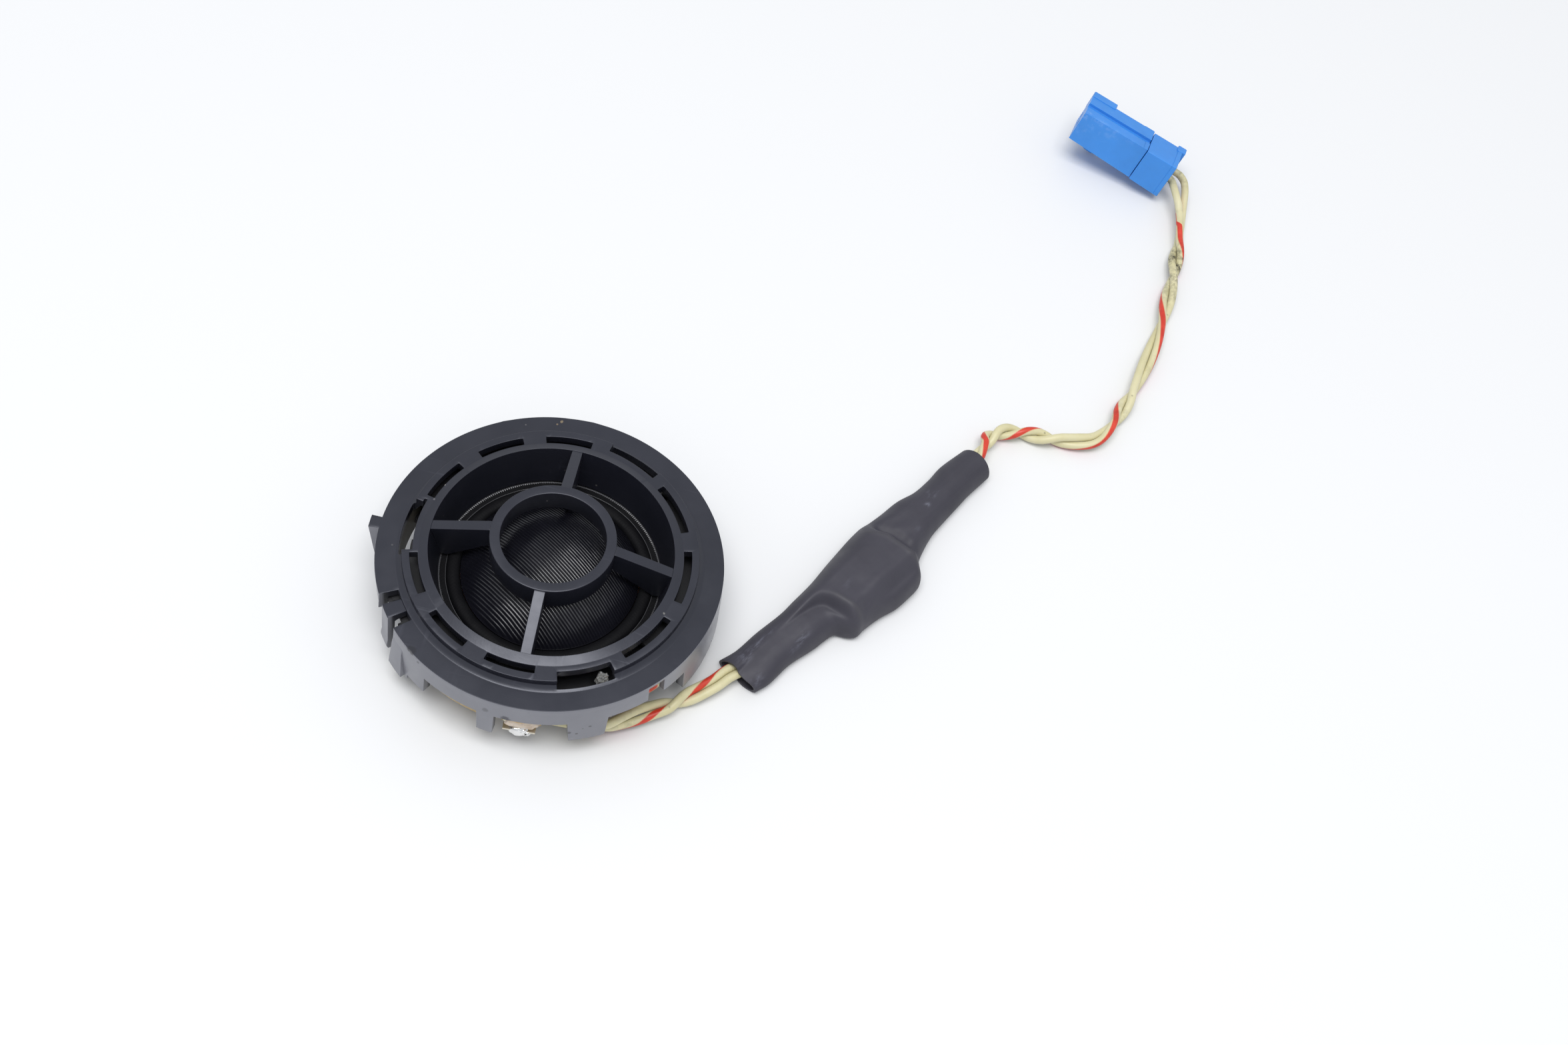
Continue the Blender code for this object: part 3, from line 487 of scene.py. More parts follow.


# the two darkest spots, at the rim's notch near 235-240 degrees, are painted shade in the notch; the rest are knocks,
# glue marks and grit
SPOTS_AND_NOTCH_SHADE = ((-14.05, -20.45, 12.4, 0.75, 0.95, (0.004, 0.004, 0.006)), (-12.6, -21.4, 11.6, 0.35, 0.8, (0.006, 0.006, 0.008)),
         (1.2, 16.1, 15.2, 0.35, 0.7, (0.16, 0.10, 0.05)), (-5.4, 23.6, 12.5, 0.28, 0.8, (0.22, 0.17, 0.10)), (-5.9, 22.9, 12.5, 0.16, 0.7, (0.20, 0.15, 0.09)),
         (17.9, -5.3, 14.2, 0.18, 0.6, (0.25, 0.24, 0.22)), (-18.0, 6.1, 14.2, 0.16, 0.9, (0.50, 0.48, 0.45)), (-18.6, 3.2, 14.2, 0.2, 0.5, (0.18, 0.17, 0.18)),
         (9.6, -23.4, 6.4, 0.34, 0.9, (0.035, 0.033, 0.036)), (10.6, -22.9, 5.9, 0.22, 0.9, (0.045, 0.04, 0.045)), (12.3, -22.1, 7.4, 0.26, 0.85, (0.04, 0.036, 0.04)),
         (8.4, -23.9, 7.6, 0.2, 0.8, (0.05, 0.045, 0.045)), (11.4, -22.6, 7.1, 0.16, 0.8, (0.05, 0.045, 0.045)), (-2.0, -25.2, 9.9, 0.5, 0.6, (0.05, 0.05, 0.055)),
         (0.9, -25.2, 8.95, 0.8, 0.9, (0.016, 0.014, 0.022)))
PLASTIC = moulded_plastic("satin_black_plastic", (0.0100, 0.0106, 0.0165), 0.33, fine=0.30, ior=1.62, rim=SPOTS_AND_NOTCH_SHADE)
PLASTIC.b.inputs["Specular Tint"].default_value = (0.88, 0.90, 1.0, 1.0)
# the collar's brownish grey is painted bounce light: the frame's black plastic as it looks lit by the floor through the
# window
COLLAR_BOUNCE_LIT = moulded_plastic("frame_collar_painted_bounce_light", (0.125, 0.112, 0.092), 0.5, fine=0.4)
FRAME_PLASTIC = moulded_plastic("frame_black_plastic", (0.010, 0.010, 0.012), 0.45, fine=0.35, ior=1.5)


def dome_cloth():
    s = Shader("dome_textile", (0.005, 0.005, 0.006), 0.27)
    s.b.inputs["IOR"].default_value = 1.5
    slow = s.noise(180.0, 3.0, 0.6)
    s.colour(s.ramp(slow, [(0.3, (0.004, 0.004, 0.0062)), (0.7, (0.007, 0.007, 0.0105))]))
    v = s.mapping((1.0, 1.0, 1.0), (0.0, 0.0, math.radians(-58.0)))
    thread = s.node("ShaderNodeTexWave", wave_type="BANDS", bands_direction="Y")
    thread.inputs["Scale"].default_value = 1050.0
    thread.inputs["Distortion"].default_value = 1.2
    thread.inputs["Detail"].default_value = 1.0
    s.link(v, thread.inputs["Vector"])
    fuzz = s.noise(3200.0, 2.0, 0.6)
    n = s.bump(thread.outputs["Fac"], 0.06, 0.00002)
    s.normal(s.bump(fuzz, 0.12, 0.00001, n))
    s.rough(s.ramp(s.noise(300.0, 3.0, 0.6), [(0.3, 0.16), (0.7, 0.25)]))
    # the coating shines on the tops of the ribs and is thin in the grooves
    s.link(s.ramp(s.attribute("rib"), [(0.25, 0.08), (0.85, 0.95)]), s.b.inputs["Specular IOR Level"])
    return s


DOME = dome_cloth()


def surround_cloth():
    s = Shader("surround_textile", (0.004, 0.004, 0.005), 0.6)
    s.b.inputs["Specular IOR Level"].default_value = 0.10
    a = s.cells(2300.0, s.mapping((1, 1, 1), (0, 0, 0.5)), "F1", 0.25)
    s.normal(s.bump(a.outputs["Distance"], 0.5, 0.00005))
    s.colour(s.ramp(s.noise(240.0, 3.0, 0.6), [(0.3, (0.003, 0.003, 0.004)), (0.75, (0.007, 0.007, 0.008))]))
    s.rough(s.ramp(s.noise(500.0, 3.0, 0.6), [(0.3, 0.5), (0.7, 0.7)]))
    return s


SURROUND = surround_cloth()
THREADS = moulded_plastic("surround_thread_ends", (0.05, 0.05, 0.055), 0.24, fine=0.2, ior=1.6)


def metal(name, base, rough, aniso=0.0, tarnish=(0.30, 0.27, 0.22), amount=0.3):
    s = Shader(name, base, rough, Metallic=1.0)
    s.b.inputs["Anisotropic"].default_value = aniso
    blot = s.ramp(s.noise(260.0, 5.0, 0.65), [(0.45, 0.0), (0.72, 1.0)])
    s.colour(s.mix(s.math("MULTIPLY", blot, amount), base, tarnish))
    s.rough(s.ramp(s.noise(700.0, 4.0, 0.6), [(0.25, max(0.08, rough - 0.1)), (0.8, rough + 0.15)]))
    s.normal(s.bump(s.noise(1500.0, 3.0, 0.5), 0.15, 0.00003))
    return s


STEEL = metal("zinc_plated_steel", (0.58, 0.57, 0.53), 0.32)
MAGNET = metal("nickel_plated_magnet", (0.62, 0.61, 0.58), 0.22, amount=0.1)
TINNED = metal("tinned_brass", (0.66, 0.62, 0.52), 0.32)
BRASS = metal("brass_contact", (0.72, 0.54, 0.22), 0.28, amount=0.15)
SOLDER = metal("solder", (0.80, 0.80, 0.79), 0.20, amount=0.25, tarnish=(0.35, 0.33, 0.30))
COPPER = metal("copper_strands", (0.72, 0.36, 0.20), 0.3, amount=0.2, tarnish=(0.3, 0.12, 0.06))


def felt():
    s = Shader("grey_felt", (0.16, 0.16, 0.17), 0.95)
    s.b.inputs["Sheen Weight"].default_value = 0.4
    s.colour(s.ramp(s.noise(900.0, 5.0, 0.7), [(0.3, (0.09, 0.09, 0.10)), (0.7, (0.22, 0.22, 0.23))]))
    s.normal(s.bump(s.noise(1600.0, 6.0, 0.7), 0.7, 0.0001))
    return s


FELT = felt()


def phenolic():
    s = Shader("phenolic_board", (0.42, 0.30, 0.13), 0.5)
    fibre = s.noise(1.0, 4.0, 0.6, s.mapping((1500.0, 220.0, 900.0), (0, 0, 0.4)))
    s.colour(s.ramp(fibre, [(0.25, (0.33, 0.22, 0.08)), (0.55, (0.46, 0.34, 0.15)), (0.85, (0.58, 0.46, 0.24))]))
    s.rough(s.ramp(s.noise(300.0, 3.0, 0.5), [(0.3, 0.4), (0.7, 0.62)]))
    s.normal(s.bump(fibre, 0.2, 0.00003))
    return s


BOARD = phenolic()


def glue(name, colour, dark, rough=0.28):
    s = Shader(name, colour, rough)
    s.b.inputs["Subsurface Weight"].default_value = 0.35
    s.b.inputs["Subsurface Radius"].default_value = (0.0012, 0.0010, 0.0006)
    s.b.inputs["Subsurface Scale"].default_value = 1.0
    s.colour(s.ramp(s.noise(380.0, 5.0, 0.65), [(0.28, dark), (0.5, colour), (0.8, tuple(min(1.0, c * 1.15) for c in colour))]))
    s.rough(s.ramp(s.noise(800.0, 3.0, 0.5), [(0.3, rough - 0.08), (0.7, rough + 0.2)]))
    s.normal(s.bump(s.noise(700.0, 4.0, 0.6), 0.3, 0.00008))
    return s


PAD_GLUE = glue("adhesive_pad_resin", (0.60, 0.50, 0.40), (0.34, 0.24, 0.15))
BEAD_GLUE = glue("hot_melt_adhesive", (0.76, 0.72, 0.50), (0.55, 0.48, 0.28))
PATCH_GLUE = glue("adhesive_patch_resin", (0.58, 0.40, 0.22), (0.36, 0.20, 0.09))
PIT = moulded_plastic("pit_shadow", (0.03, 0.026, 0.02), 0.6, fine=0.3)
DAB_GLUE = glue("hot_melt_dab", (0.17, 0.17, 0.165), (0.05, 0.05, 0.05), 0.40)


def insulation(name, striped):
    base = (0.60, 0.555, 0.335)
    s = Shader(name, base, 0.42)
    s.b.inputs["Subsurface Weight"].default_value = 0.12
    s.b.inputs["Subsurface Radius"].default_value = (0.0006, 0.0005, 0.0003)
    s.b.inputs["Subsurface Scale"].default_value = 1.0
    tone = s.ramp(s.noise(160.0, 4.0, 0.6), [(0.25, (0.53, 0.485, 0.27)), (0.5, base), (0.8, (0.66, 0.62, 0.42))])
    grime = s.ramp(s.noise(330.0, 6.0, 0.7), [(0.60, 0.0), (0.80, 1.0)])
    tone = s.mix(s.math("MULTIPLY", grime, 0.45), tone, (0.30, 0.27, 0.17))
    if striped:
        red = s.ramp(s.noise(500.0, 4.0, 0.6), [(0.3, (0.48, 0.024, 0.009)), (0.7, (0.64, 0.055, 0.026))])
        stripe = s.attribute("stripe")
        tone = s.mix(stripe, tone, red)
    # dark specks and rubbed-on soot where the pair has been handled
    cells = s.cells(900.0)
    near = s.ramp(cells.outputs["Distance"], [(0.10, 1.0), (0.22, 0.0)])
    pick = s.ramp(cells.outputs["Color"], [(0.86, 0.0), (0.90, 1.0)])
    speck = s.math("MULTIPLY", near, pick)
    soot = s.attribute("soot")
    streak = s.ramp(s.noise(1.0, 5.0, 0.7, s.mapping((900.0, 900.0, 900.0))), [(0.42, 0.0), (0.62, 1.0)])
    dark = s.math("MAXIMUM", s.math("MULTIPLY", speck, 0.6), s.math("MULTIPLY", soot, streak))
    tone = s.mix(dark, tone, (0.020, 0.016, 0.013))
    s.colour(tone)
    s.rough(s.ramp(s.noise(420.0, 3.0, 0.6), [(0.3, 0.34), (0.7, 0.52)]))
    s.normal(s.bump(s.noise(1100.0, 3.0, 0.5), 0.10, 0.00004))
    return s


IVORY = insulation("ivory_wire_insulation", False)
IVORY_RED = insulation("ivory_wire_insulation_red_stripe", True)


def shrink():
    base = (0.034, 0.0322, 0.0445)
    s = Shader("heat_shrink_tube", base, 0.58)
    s.b.inputs["IOR"].default_value = 1.5
    tone = s.ramp(s.noise(70.0, 5.0, 0.6), [(0.28, (0.027, 0.0256, 0.036)), (0.5, base), (0.78, (0.043, 0.0408, 0.055))])
    # faint lengthwise drawing lines and pale rubbed scratches
    v = s.mapping((1.0, 1.0, 1.0), (0.0, 0.0, -math.radians(60.2)))
    lines = s.noise(1.0, 3.0, 0.6, s.mapping((90.0, 1600.0, 1600.0), source=v))
    tone = s.mix(s.ramp(lines, [(0.5, 0.0), (0.8, 0.22)]), tone, (0.050, 0.048, 0.060))
    scuff = s.attribute("scuff")
    grit = s.ramp(s.noise(1.0, 6.0, 0.7, s.mapping((420.0, 1500.0, 1500.0), source=v)), [(0.46, 0.0), (0.66, 1.0)])
    tone = s.mix(s.math("MULTIPLY", scuff, grit), tone, (0.14, 0.145, 0.185))
    wear = s.attribute("crest")
    tone = s.mix(s.math("MULTIPLY", wear, 0.40), tone, (0.060, 0.058, 0.062))
    s.colour(tone)
    s.rough(s.ramp(s.noise(260.0, 4.0, 0.6), [(0.25, 0.50), (0.75, 0.68)]))
    n = s.bump(s.noise(900.0, 4.0, 0.6), 0.22, 0.00005)
    s.normal(s.bump(lines, 0.12, 0.00005, n))
    return s


SHRINK = shrink()


def blue_plastic():
    base = (0.037, 0.232, 0.660)
    s = Shader("blue_connector_plastic", base, 0.38)
    s.b.inputs["Subsurface Weight"].default_value = 0.10
    s.b.inputs["Subsurface Radius"].default_value = (0.0003, 0.0006, 0.0012)
    s.b.inputs["Subsurface Scale"].default_value = 1.0
    tone = s.ramp(s.noise(110.0, 4.0, 0.6), [(0.28, tuple(c * 0.90 for c in base)), (0.72, tuple(c * 1.08 for c in base))])
    v1 = s.mapping((90.0, 1700.0, 1100.0), (0.0, 0.0, 0.25))
    hair = s.ramp(s.noise(1.0, 2.0, 0.5, v1), [(0.68, 0.0), (0.78, 1.0)])
    tone = s.mix(s.math("MULTIPLY", hair, 0.25), tone, (0.12, 0.34, 0.74))
    cells = s.cells(520.0)
    near = s.ramp(cells.outputs["Distance"], [(0.05, 1.0), (0.12, 0.0)])
    pick = s.ramp(cells.outputs["Color"], [(0.84, 0.0), (0.88, 1.0)])
    tone = s.mix(s.math("MULTIPLY", s.math("MULTIPLY", near, pick), 0.5), tone, (0.02, 0.05, 0.14))
    wear = s.math("MULTIPLY", s.attribute("wear"), s.ramp(s.noise(900.0, 5.0, 0.7), [(0.50, 0.0), (0.66, 1.0)]))
    tone = s.mix(s.math("MULTIPLY", wear, 0.4), tone, (0.50, 0.64, 0.86))
    soot = s.attribute("soot")
    streak = s.ramp(s.noise(1.0, 5.0, 0.7, s.mapping((500.0, 1400.0, 1400.0), (0, 0, 0.2))), [(0.40, 0.0), (0.58, 1.0)])
    tone = s.mix(s.math("MULTIPLY", soot, streak), tone, (0.018, 0.030, 0.075))
    s.colour(tone)
    s.rough(s.ramp(s.noise(330.0, 3.0, 0.6), [(0.3, 0.30), (0.7, 0.48)]))
    s.normal(s.bump(s.noise(2200.0, 2.0, 0.5), 0.18, 0.00003))
    return s


BLUE = blue_plastic()
CAPACITOR = glue("capacitor_case", (0.50, 0.30, 0.04), (0.34, 0.18, 0.02), 0.3)
FILM = glue("coil_former_film", (0.45, 0.22, 0.05), (0.35, 0.16, 0.03), 0.3)
ENAMEL = metal("enamelled_copper", (0.60, 0.24, 0.10), 0.3, amount=0.2, tarnish=(0.25, 0.08, 0.03))
FIBRE = moulded_plastic("fibre_ring", (0.10, 0.09, 0.08), 0.8, fine=0.5)

# ------------------------------------------------------------------ front housing
TOP = 12.5
SLOTS = ((27.0, 52.0), (89.0, 109.0), (119.0, 139.0), (149.0, 169.5),
         (198.6, 218.6), (228.6, 248.6), (258.6, 279.4), (316.6, 342.2), (351.5, 377.3))
WINDOWS = ((58.0, 81.0), (173.2, 197.2), (288.2, 310.2))
# skirt feet: (from, to, height of the lower edge)
FEET = ((225.5, 234.2, 4.1), (234.2, 242.4, 5.05), (262.4, 268.3, 4.1), (291.6, 305.0, 4.1), (335.0, 385.0, 4.1),
        (60.0, 70.0, 4.1), (110.0, 116.0, 4.1), (150.0, 164.0, 4.1), (180.0, 188.5, 4.1))
LATCH_GAP = (212.0, 225.5)
WIRE_SLOT = (319.2, 325.4)

N = {
    "h0": (16.15, 8.25), "h1": (17.45, 8.25), "h2": (18.5, 12.8), "m": (17.55, 14.78),
    "t1": (18.75, 14.2), "t2": (18.95, 14.2), "t3": (19.7, 14.2), "t4": (20.1, 14.2), "t5": (21.2, 14.2),
    "t6": (21.2, 13.12), "t7": (21.65, 12.72), "t8": (22.05, 12.5), "t9": (22.2, 12.5), "ta": (23.0, 12.5), "tb": (24.98, 12.5),
    "u2": (18.95, 12.8), "u3": (19.7, 12.8), "u4": (20.1, 12.8), "u5": (20.5, 12.8), "u6": (21.45, 11.1), "u7": (21.65, 11.1),
    "u9": (22.2, 11.1), "ua": (23.0, 11.1), "va": (23.0, 11.8), "vb": (25.0, 11.8), "ub": (25.05, 11.1), "ui": (23.65, 11.1),
    "s1o": (25.18, 8.8), "s1i": (23.8, 8.8), "s2o": (25.28, 5.05), "s2i": (23.95, 5.05), "s3o": (25.32, 4.1), "s3i": (24.0, 4.1),
}
C = {
    "horn": ["h0", "h1", "h2", "u2", "t2", "t1", "m"],
    "slot_a": ["u2", "u3", "t3", "t2"],
    "slot_b": ["u3", "u4", "t4", "t3"],
    "wall": ["u4", "u5", "u6", "u7", "t7", "t6", "t5", "t4"],
    "cove": ["u7", "u9", "t9", "t8", "t7"],
    "rim_a": ["u9", "ua", "va", "ta", "t9"],
    "rim_low": ["ua", "ui", "ub", "vb", "va"],
    "rim_top": ["va", "vb", "tb", "ta"],
    "skirt1": ["ui", "s1i", "s1o", "ub"],
    "skirt2": ["s1i", "s2i", "s2o", "s1o"],
    "skirt3": ["s2i", "s3i", "s3o", "s2o"],
}


def within(a, span):
    lo, hi = span[0] % 360.0, span[1] % 360.0
    return lo <= a < hi if lo < hi else (a >= lo or a < hi)


def housing_filled(cell, a):
    if cell in ("slot_a", "slot_b") and any(within(a, s) for s in SLOTS):
        return False
    if cell in ("slot_b", "wall") and any(within(a, s) for s in WINDOWS):
        return False
    # a small stepped nick at one window corner; the second, in the cove at 195-199.4 degrees, is switched off
    if cell == "slot_b" and within(a, (171.6, 173.2)):
        return False
    if cell == "cove" and within(a, (195.0, 199.4)) and False:
        return False
    if cell[:3] in ("rim", "ski") and within(a, LATCH_GAP):
        return False
    if cell in ("rim_low", "skirt1") and within(a, WIRE_SLOT):
        return False
    if cell == "skirt2":
        return any(within(a, f[:2]) for f in FEET)
    if cell == "skirt3":
        return any(within(a, f[:2]) and f[2] < 5.0 for f in FEET)
    return True


def housing_place(node, a):
    r, z = N[node]
    if node in ("s1o", "s2o", "s3o", "ub") and 188.5 < a < 212.0:
        r -= 0.28
    # the lugs narrow towards their feet
    if node in ("s2o", "s2i", "s3o", "s3i"):
        low = 1.0 if node[1] == "3" else 0.8
        for edge, taper in ((291.6, 0.75), (305.0, -0.75), (262.4, 0.25), (268.3, -0.35), (242.4, -0.3), (335.0, 0.5)):
            if abs(a - edge) < 0.01:
                a += taper * low
    # knocks on the rim
    if node in ("tb", "vb"):
        r -= 0.10 * math.exp(-((a - 235.5) / 0.8) ** 2) + 0.03 * math.exp(-((a - 100.0) / 1.5) ** 2)
        r += 0.05 * math.exp(-((a - 92.0) / 2.0) ** 2) + 0.05 * math.exp(-((a - 123.0) / 1.0) ** 2)
    return polar(r, a, z)


marks = [x for s in SLOTS + WINDOWS for x in s] + [x for f in FEET for x in f[:2]] + list(LATCH_GAP) + list(WIRE_SLOT) + [171.6]
shell = link("housing_shell", cell_solid("housing_shell", N, C, housing_filled, marks, housing_place), PLASTIC.m, "housing")
bevelled(shell, 0.075, 2, 27.0)
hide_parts("front_housing")

# key rib
key_profile = [(24.7, 4.1), (25.72, 4.1), (26.52, 12.47), (24.7, 12.47)]


def swept(name, profile, a0, a1, mat, body="housing", n=8, bevel=0.08, shift=None):
    verts, faces = [], []
    m = len(profile)
    for k in range(n + 1):
        a = a0 + (a1 - a0) * k / n
        for i, (r, z) in enumerate(profile):
            d = shift(i, k / n) if shift else 0.0
            verts.append(polar(r, a + d, z))
    for k in range(n):
        for i in range(m):
            j = (i + 1) % m
            faces.append((k * m + i, k * m + j, (k + 1) * m + j, (k + 1) * m + i))
    faces.append(tuple(range(m)))
    faces.append(tuple(n * m + i for i in reversed(range(m))))
    ob = link(name, mesh_from(name, verts, faces), mat, body)
    if bevel:
        bevelled(ob, bevel, 2)
    return ob


swept("housing_key", key_profile, 182.0, 186.5, PLASTIC.m, n=4)
# barb that flares out of the lug beside the snap finger
swept("housing_barb", [(24.7, 10.4), (25.08, 10.3), (25.34, 8.9), (25.98, 4.1), (24.3, 4.1)], 225.5, 231.4, PLASTIC.m, n=5, bevel=0.06,
      shift=lambda i, t: (1.3 * t if i in (3, 4) else 0.0))

# centre ring, with a rounded outer shoulder
turned("housing_centre_ring", fillet([(7.53, 17.68), (9.0, 17.68), (8.96, 13.6), (8.1, 13.55), (7.62, 14.0)], [0.12, 0.14, 0.2, 0.2, 0.2]),
       PLASTIC.m, 180, sharp=40)

# four gusset blades
for q in range(4):
    a = math.radians(4.3 + 90.0 * q)
    side = [(8.7, 17.50), (9.2, 17.46), (17.45, 14.72), (17.9, 14.45), (17.6, 13.0), (16.9, 9.2), (16.6, 8.6), (15.15, 8.55), (9.1, 13.4), (8.7, 13.75)]
    verts, faces = [], []
    for t in (-1, 1):
        for x, z in side:
            draft = 0.775 - 0.012 * (15.0 - z)
            y = t * draft
            verts.append((x * math.cos(a) - y * math.sin(a), x * math.sin(a) + y * math.cos(a), z))
    n = len(side)
    faces = [tuple(range(n)), tuple(reversed(range(n, 2 * n)))] + [(i, (i + 1) % n, n + (i + 1) % n, n + i) for i in range(n)]
    ob = link("housing_blade_%d" % (q + 1), mesh_from("housing_blade_%d" % (q + 1), verts, faces), PLASTIC.m, "housing")
    bevelled(ob, 0.09, 2)

# ------------------------------------------------------------------ snap finger
finger = [(22.2, 12.5), (24.9, 12.5), (25.02, 12.36), (25.22, 6.4), (25.42, 5.2), (25.40, 4.7), (25.2, 4.15), (24.3, 4.15), (23.95, 10.9), (23.5, 11.15), (22.2, 11.15)]
ob = swept("snap_finger", finger, 216.0, 221.5, PLASTIC.m, "latch_finger", n=6, bevel=0.07)
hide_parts("snap_latch")

# ------------------------------------------------------------------ what shows through the slots and windows: the driver frame's ledge and collar
FN = {"a": (17.9, 9.9), "b": (17.9, 10.7), "c": (21.2, 9.9), "d": (21.2, 10.7), "e": (20.3, 9.9), "f": (20.3, 5.6), "g": (21.2, 5.6),
      "h": (17.62, 7.35), "i": (17.62, 8.2), "j": (20.3, 8.2), "k": (20.3, 7.35), "l": (21.2, 8.2), "m": (21.2, 7.35), "y": (23.1, 9.9), "z": (23.1, 10.7)}
FC = {"ledge_in": ["a", "e", "x", "b"], "ledge_out": ["e", "c", "d", "x"], "drum": ["j", "l", "c", "e"], "drum_mid": ["k", "m", "l", "j"],
      "drum_low": ["f", "g", "m", "k"], "floor": ["h", "k", "j", "i"]}
FN["x"] = (20.3, 10.7)
FN["p"], FN["q"] = (23.75, 9.9), (23.75, 10.7)
FC["ledge_far"] = ["c", "y", "z", "d"]
FC["ledge_edge"] = ["y", "p", "q", "z"]


def frame_filled(cell, a):
    if cell == "ledge_edge" and within(a, (215.2, 222.4)):      # room for the snap finger
        return False
    if cell in ("ledge_far", "ledge_edge") and within(a, (50.5, 79.0)):
        return True
    if within(a, (168.0, 186.0)) or within(a, (50.5, 79.0)):
        return False
    if within(a, (186.0, 198.3)) and cell != "ledge_in":
        return False
    if cell in ("ledge_in", "ledge_out", "ledge_far", "ledge_edge", "drum"):
        return not within(a, (286.5, 331.0))
    return True


ob = link("frame_ledge", cell_solid("frame_ledge", FN, FC, frame_filled, [168.0, 186.0, 198.3, 215.2, 222.4, 50.5, 79.0, 286.5, 331.0], lambda n, a: polar(FN[n][0], a, FN[n][1]), step=2.5),
          FRAME_PLASTIC.m, "housing")
bevelled(ob, 0.08, 2)
# the left collar, seen through the window near 186 degrees, carries the painted bounce-lit colour; the right one is
# plain black
swept("frame_collar_left", [(21.72, 5.5), (22.5, 5.5), (22.5, 10.95), (21.72, 10.95)], 163.0, 198.0, COLLAR_BOUNCE_LIT.m, n=20, bevel=0.06)
swept("frame_collar_right", [(21.9, 5.9), (22.6, 5.9), (22.6, 10.95), (21.9, 10.95)], 331.5, 352.0, FRAME_PLASTIC.m, n=12, bevel=0.06)

# ------------------------------------------------------------------ dome with its ribbed cloth
DOME_R, RIM_Z, RISE = 12.98, 8.22, 5.68
RHO = (DOME_R ** 2 + RISE ** 2) / (2 * RISE)


def dome_height(r):
    return RIM_Z + RISE - (RHO - math.sqrt(RHO * RHO - r * r))


def build_dome():
    pitch, rib = 0.43, 0.090
    across = math.radians(58.0)          # ribs run square to this direction
    ex, ey = Vector((math.cos(across), math.sin(across), 0)), Vector((-math.sin(across), math.cos(across), 0))
    cols = int(2 * DOME_R / (pitch / 7.0))
    rows = 56
    verts, faces, tops = [], [], []
    for i in range(cols + 1):
        x = -DOME_R + 2 * DOME_R * i / cols
        x = max(-DOME_R + 1e-3, min(DOME_R - 1e-3, x))
        half = math.sqrt(DOME_R ** 2 - x * x)
        for j in range(rows + 1):
            t = math.sin(math.pi * (j / rows - 0.5))
            y = half * t
            p = ex * x + ey * y
            r = math.hypot(x, y)
            wob = 0.05 * noise.noise(Vector((p.x * 0.35, p.y * 0.35, 3.0))) + 0.02 * noise.noise(Vector((p.x * 1.7, p.y * 1.7, 9.0)))
            phase = 2 * math.pi * (x / pitch + wob / pitch)
            lift = rib * (0.5 + 0.5 * math.cos(phase)) ** 0.9 * (0.92 + 0.10 * noise.noise(Vector((x * 3.0, y * 0.7, 1.0))) + 0.12 * noise.noise(Vector((x * 0.4, y * 0.3, 6.0))))
            edge = step(DOME_R, DOME_R - 0.5, r)
            tops.append((0.5 + 0.5 * math.cos(phase)) * (0.85 + 0.35 * noise.noise(Vector((x * 2.0, y * 0.9, 4.0)))))
            z = dome_height(min(r, DOME_R)) + lift * edge
            verts.append((p.x, p.y, z))
    w = rows + 1
    for i in range(cols):
        for j in range(rows):
            faces.append((i * w + j, (i + 1) * w + j, (i + 1) * w + j + 1, i * w + j + 1))
    me = mesh_from("dome_cloth", verts, faces)
    me.attributes.new("rib", "FLOAT", "POINT").data.foreach_set("value", tops)
    ob = link("dome_cloth", me, DOME.m, "diaphragm", sharp=80.0)
    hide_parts("diaphragm_dome")
    return ob


build_dome()
turned("dome_skirt", fillet([(12.75, 7.9), (12.98, 7.9), (12.99, 8.25), (12.80, 8.35)], 0.03), DOME.m, 160, "diaphragm")

# ------------------------------------------------------------------ surround: half roll, flat clamp ledge, crease and woven edge


def build_surround():
    steps_a = 720
    verts, faces = [], []
    prof = []
    for k in range(13):
        t = k / 12
        prof.append((13.04 + 1.98 * (1 - math.cos(math.pi * t)) / 2, 7.98 + 0.72 * math.sin(math.pi * t)))
    prof += [(15.08, 8.02), (15.18, 8.02), (15.5, 8.02), (15.95, 8.02), (16.4, 8.02), (16.6, 8.0), (16.9, 7.96), (16.9, 7.7), (15.5, 7.7), (13.04, 7.7)]
    m = len(prof)
    for k in range(steps_a):
        a = 360.0 * k / steps_a
        for i, (r, z) in enumerate(prof):
            verts.append(polar(r, a, z))
    for k in range(steps_a):
        k2 = (k + 1) % steps_a
        for i in range(m):
            j = (i + 1) % m
            faces.append((k * m + i, k * m + j, k2 * m + j, k2 * m + i))
    ob = link("surround_roll", mesh_from("surround_roll", verts, faces), SURROUND.m, "housing", sharp=75.0)
    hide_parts("surround")
    return ob


build_surround()


def threads(name, steps_a, rows):
    """A fine ring of thread ends on the surround's clamped edge."""
    verts, faces = [], []
    for k in range(steps_a):
        a = 360.0 * k / steps_a
        ring = rows(a)
        m = len(ring)
        verts += [polar(r, a, z) for r, z in ring]
    for k in range(steps_a):
        k2 = (k + 1) % steps_a
        for i in range(m):
            j = (i + 1) % m
            faces.append((k * m + i, k * m + j, k2 * m + j, k2 * m + i))
    return link(name, mesh_from(name, verts, faces), THREADS.m, "housing", sharp=70.0)


def glint(a, *peaks):
    """How much of the ring stands up at an angle: 0.08 away from the peaks, 1 on them."""
    return 0.08 + 0.80 * max(math.exp(-((((a - c + 180.0) % 360.0) - 180.0) / w) ** 2) for c, w in peaks)


def crease_rows(a):
    r = 15.12 + 0.025 * noise.noise(Vector((a * 0.12, 7.0, 0)))
    h = (0.030 + 0.05 * max(0.0, noise.noise(Vector((a * 0.06, 2.0, 0))) + 0.35)) * glint(a, (138.0, 30.0), (52.0, 26.0), (96.0, 14.0))
    return [(r - 0.07, 7.98), (r - 0.035, 8.02 + 0.7 * h), (r, 8.02 + h), (r + 0.035, 8.02 + 0.7 * h), (r + 0.07, 7.98)]


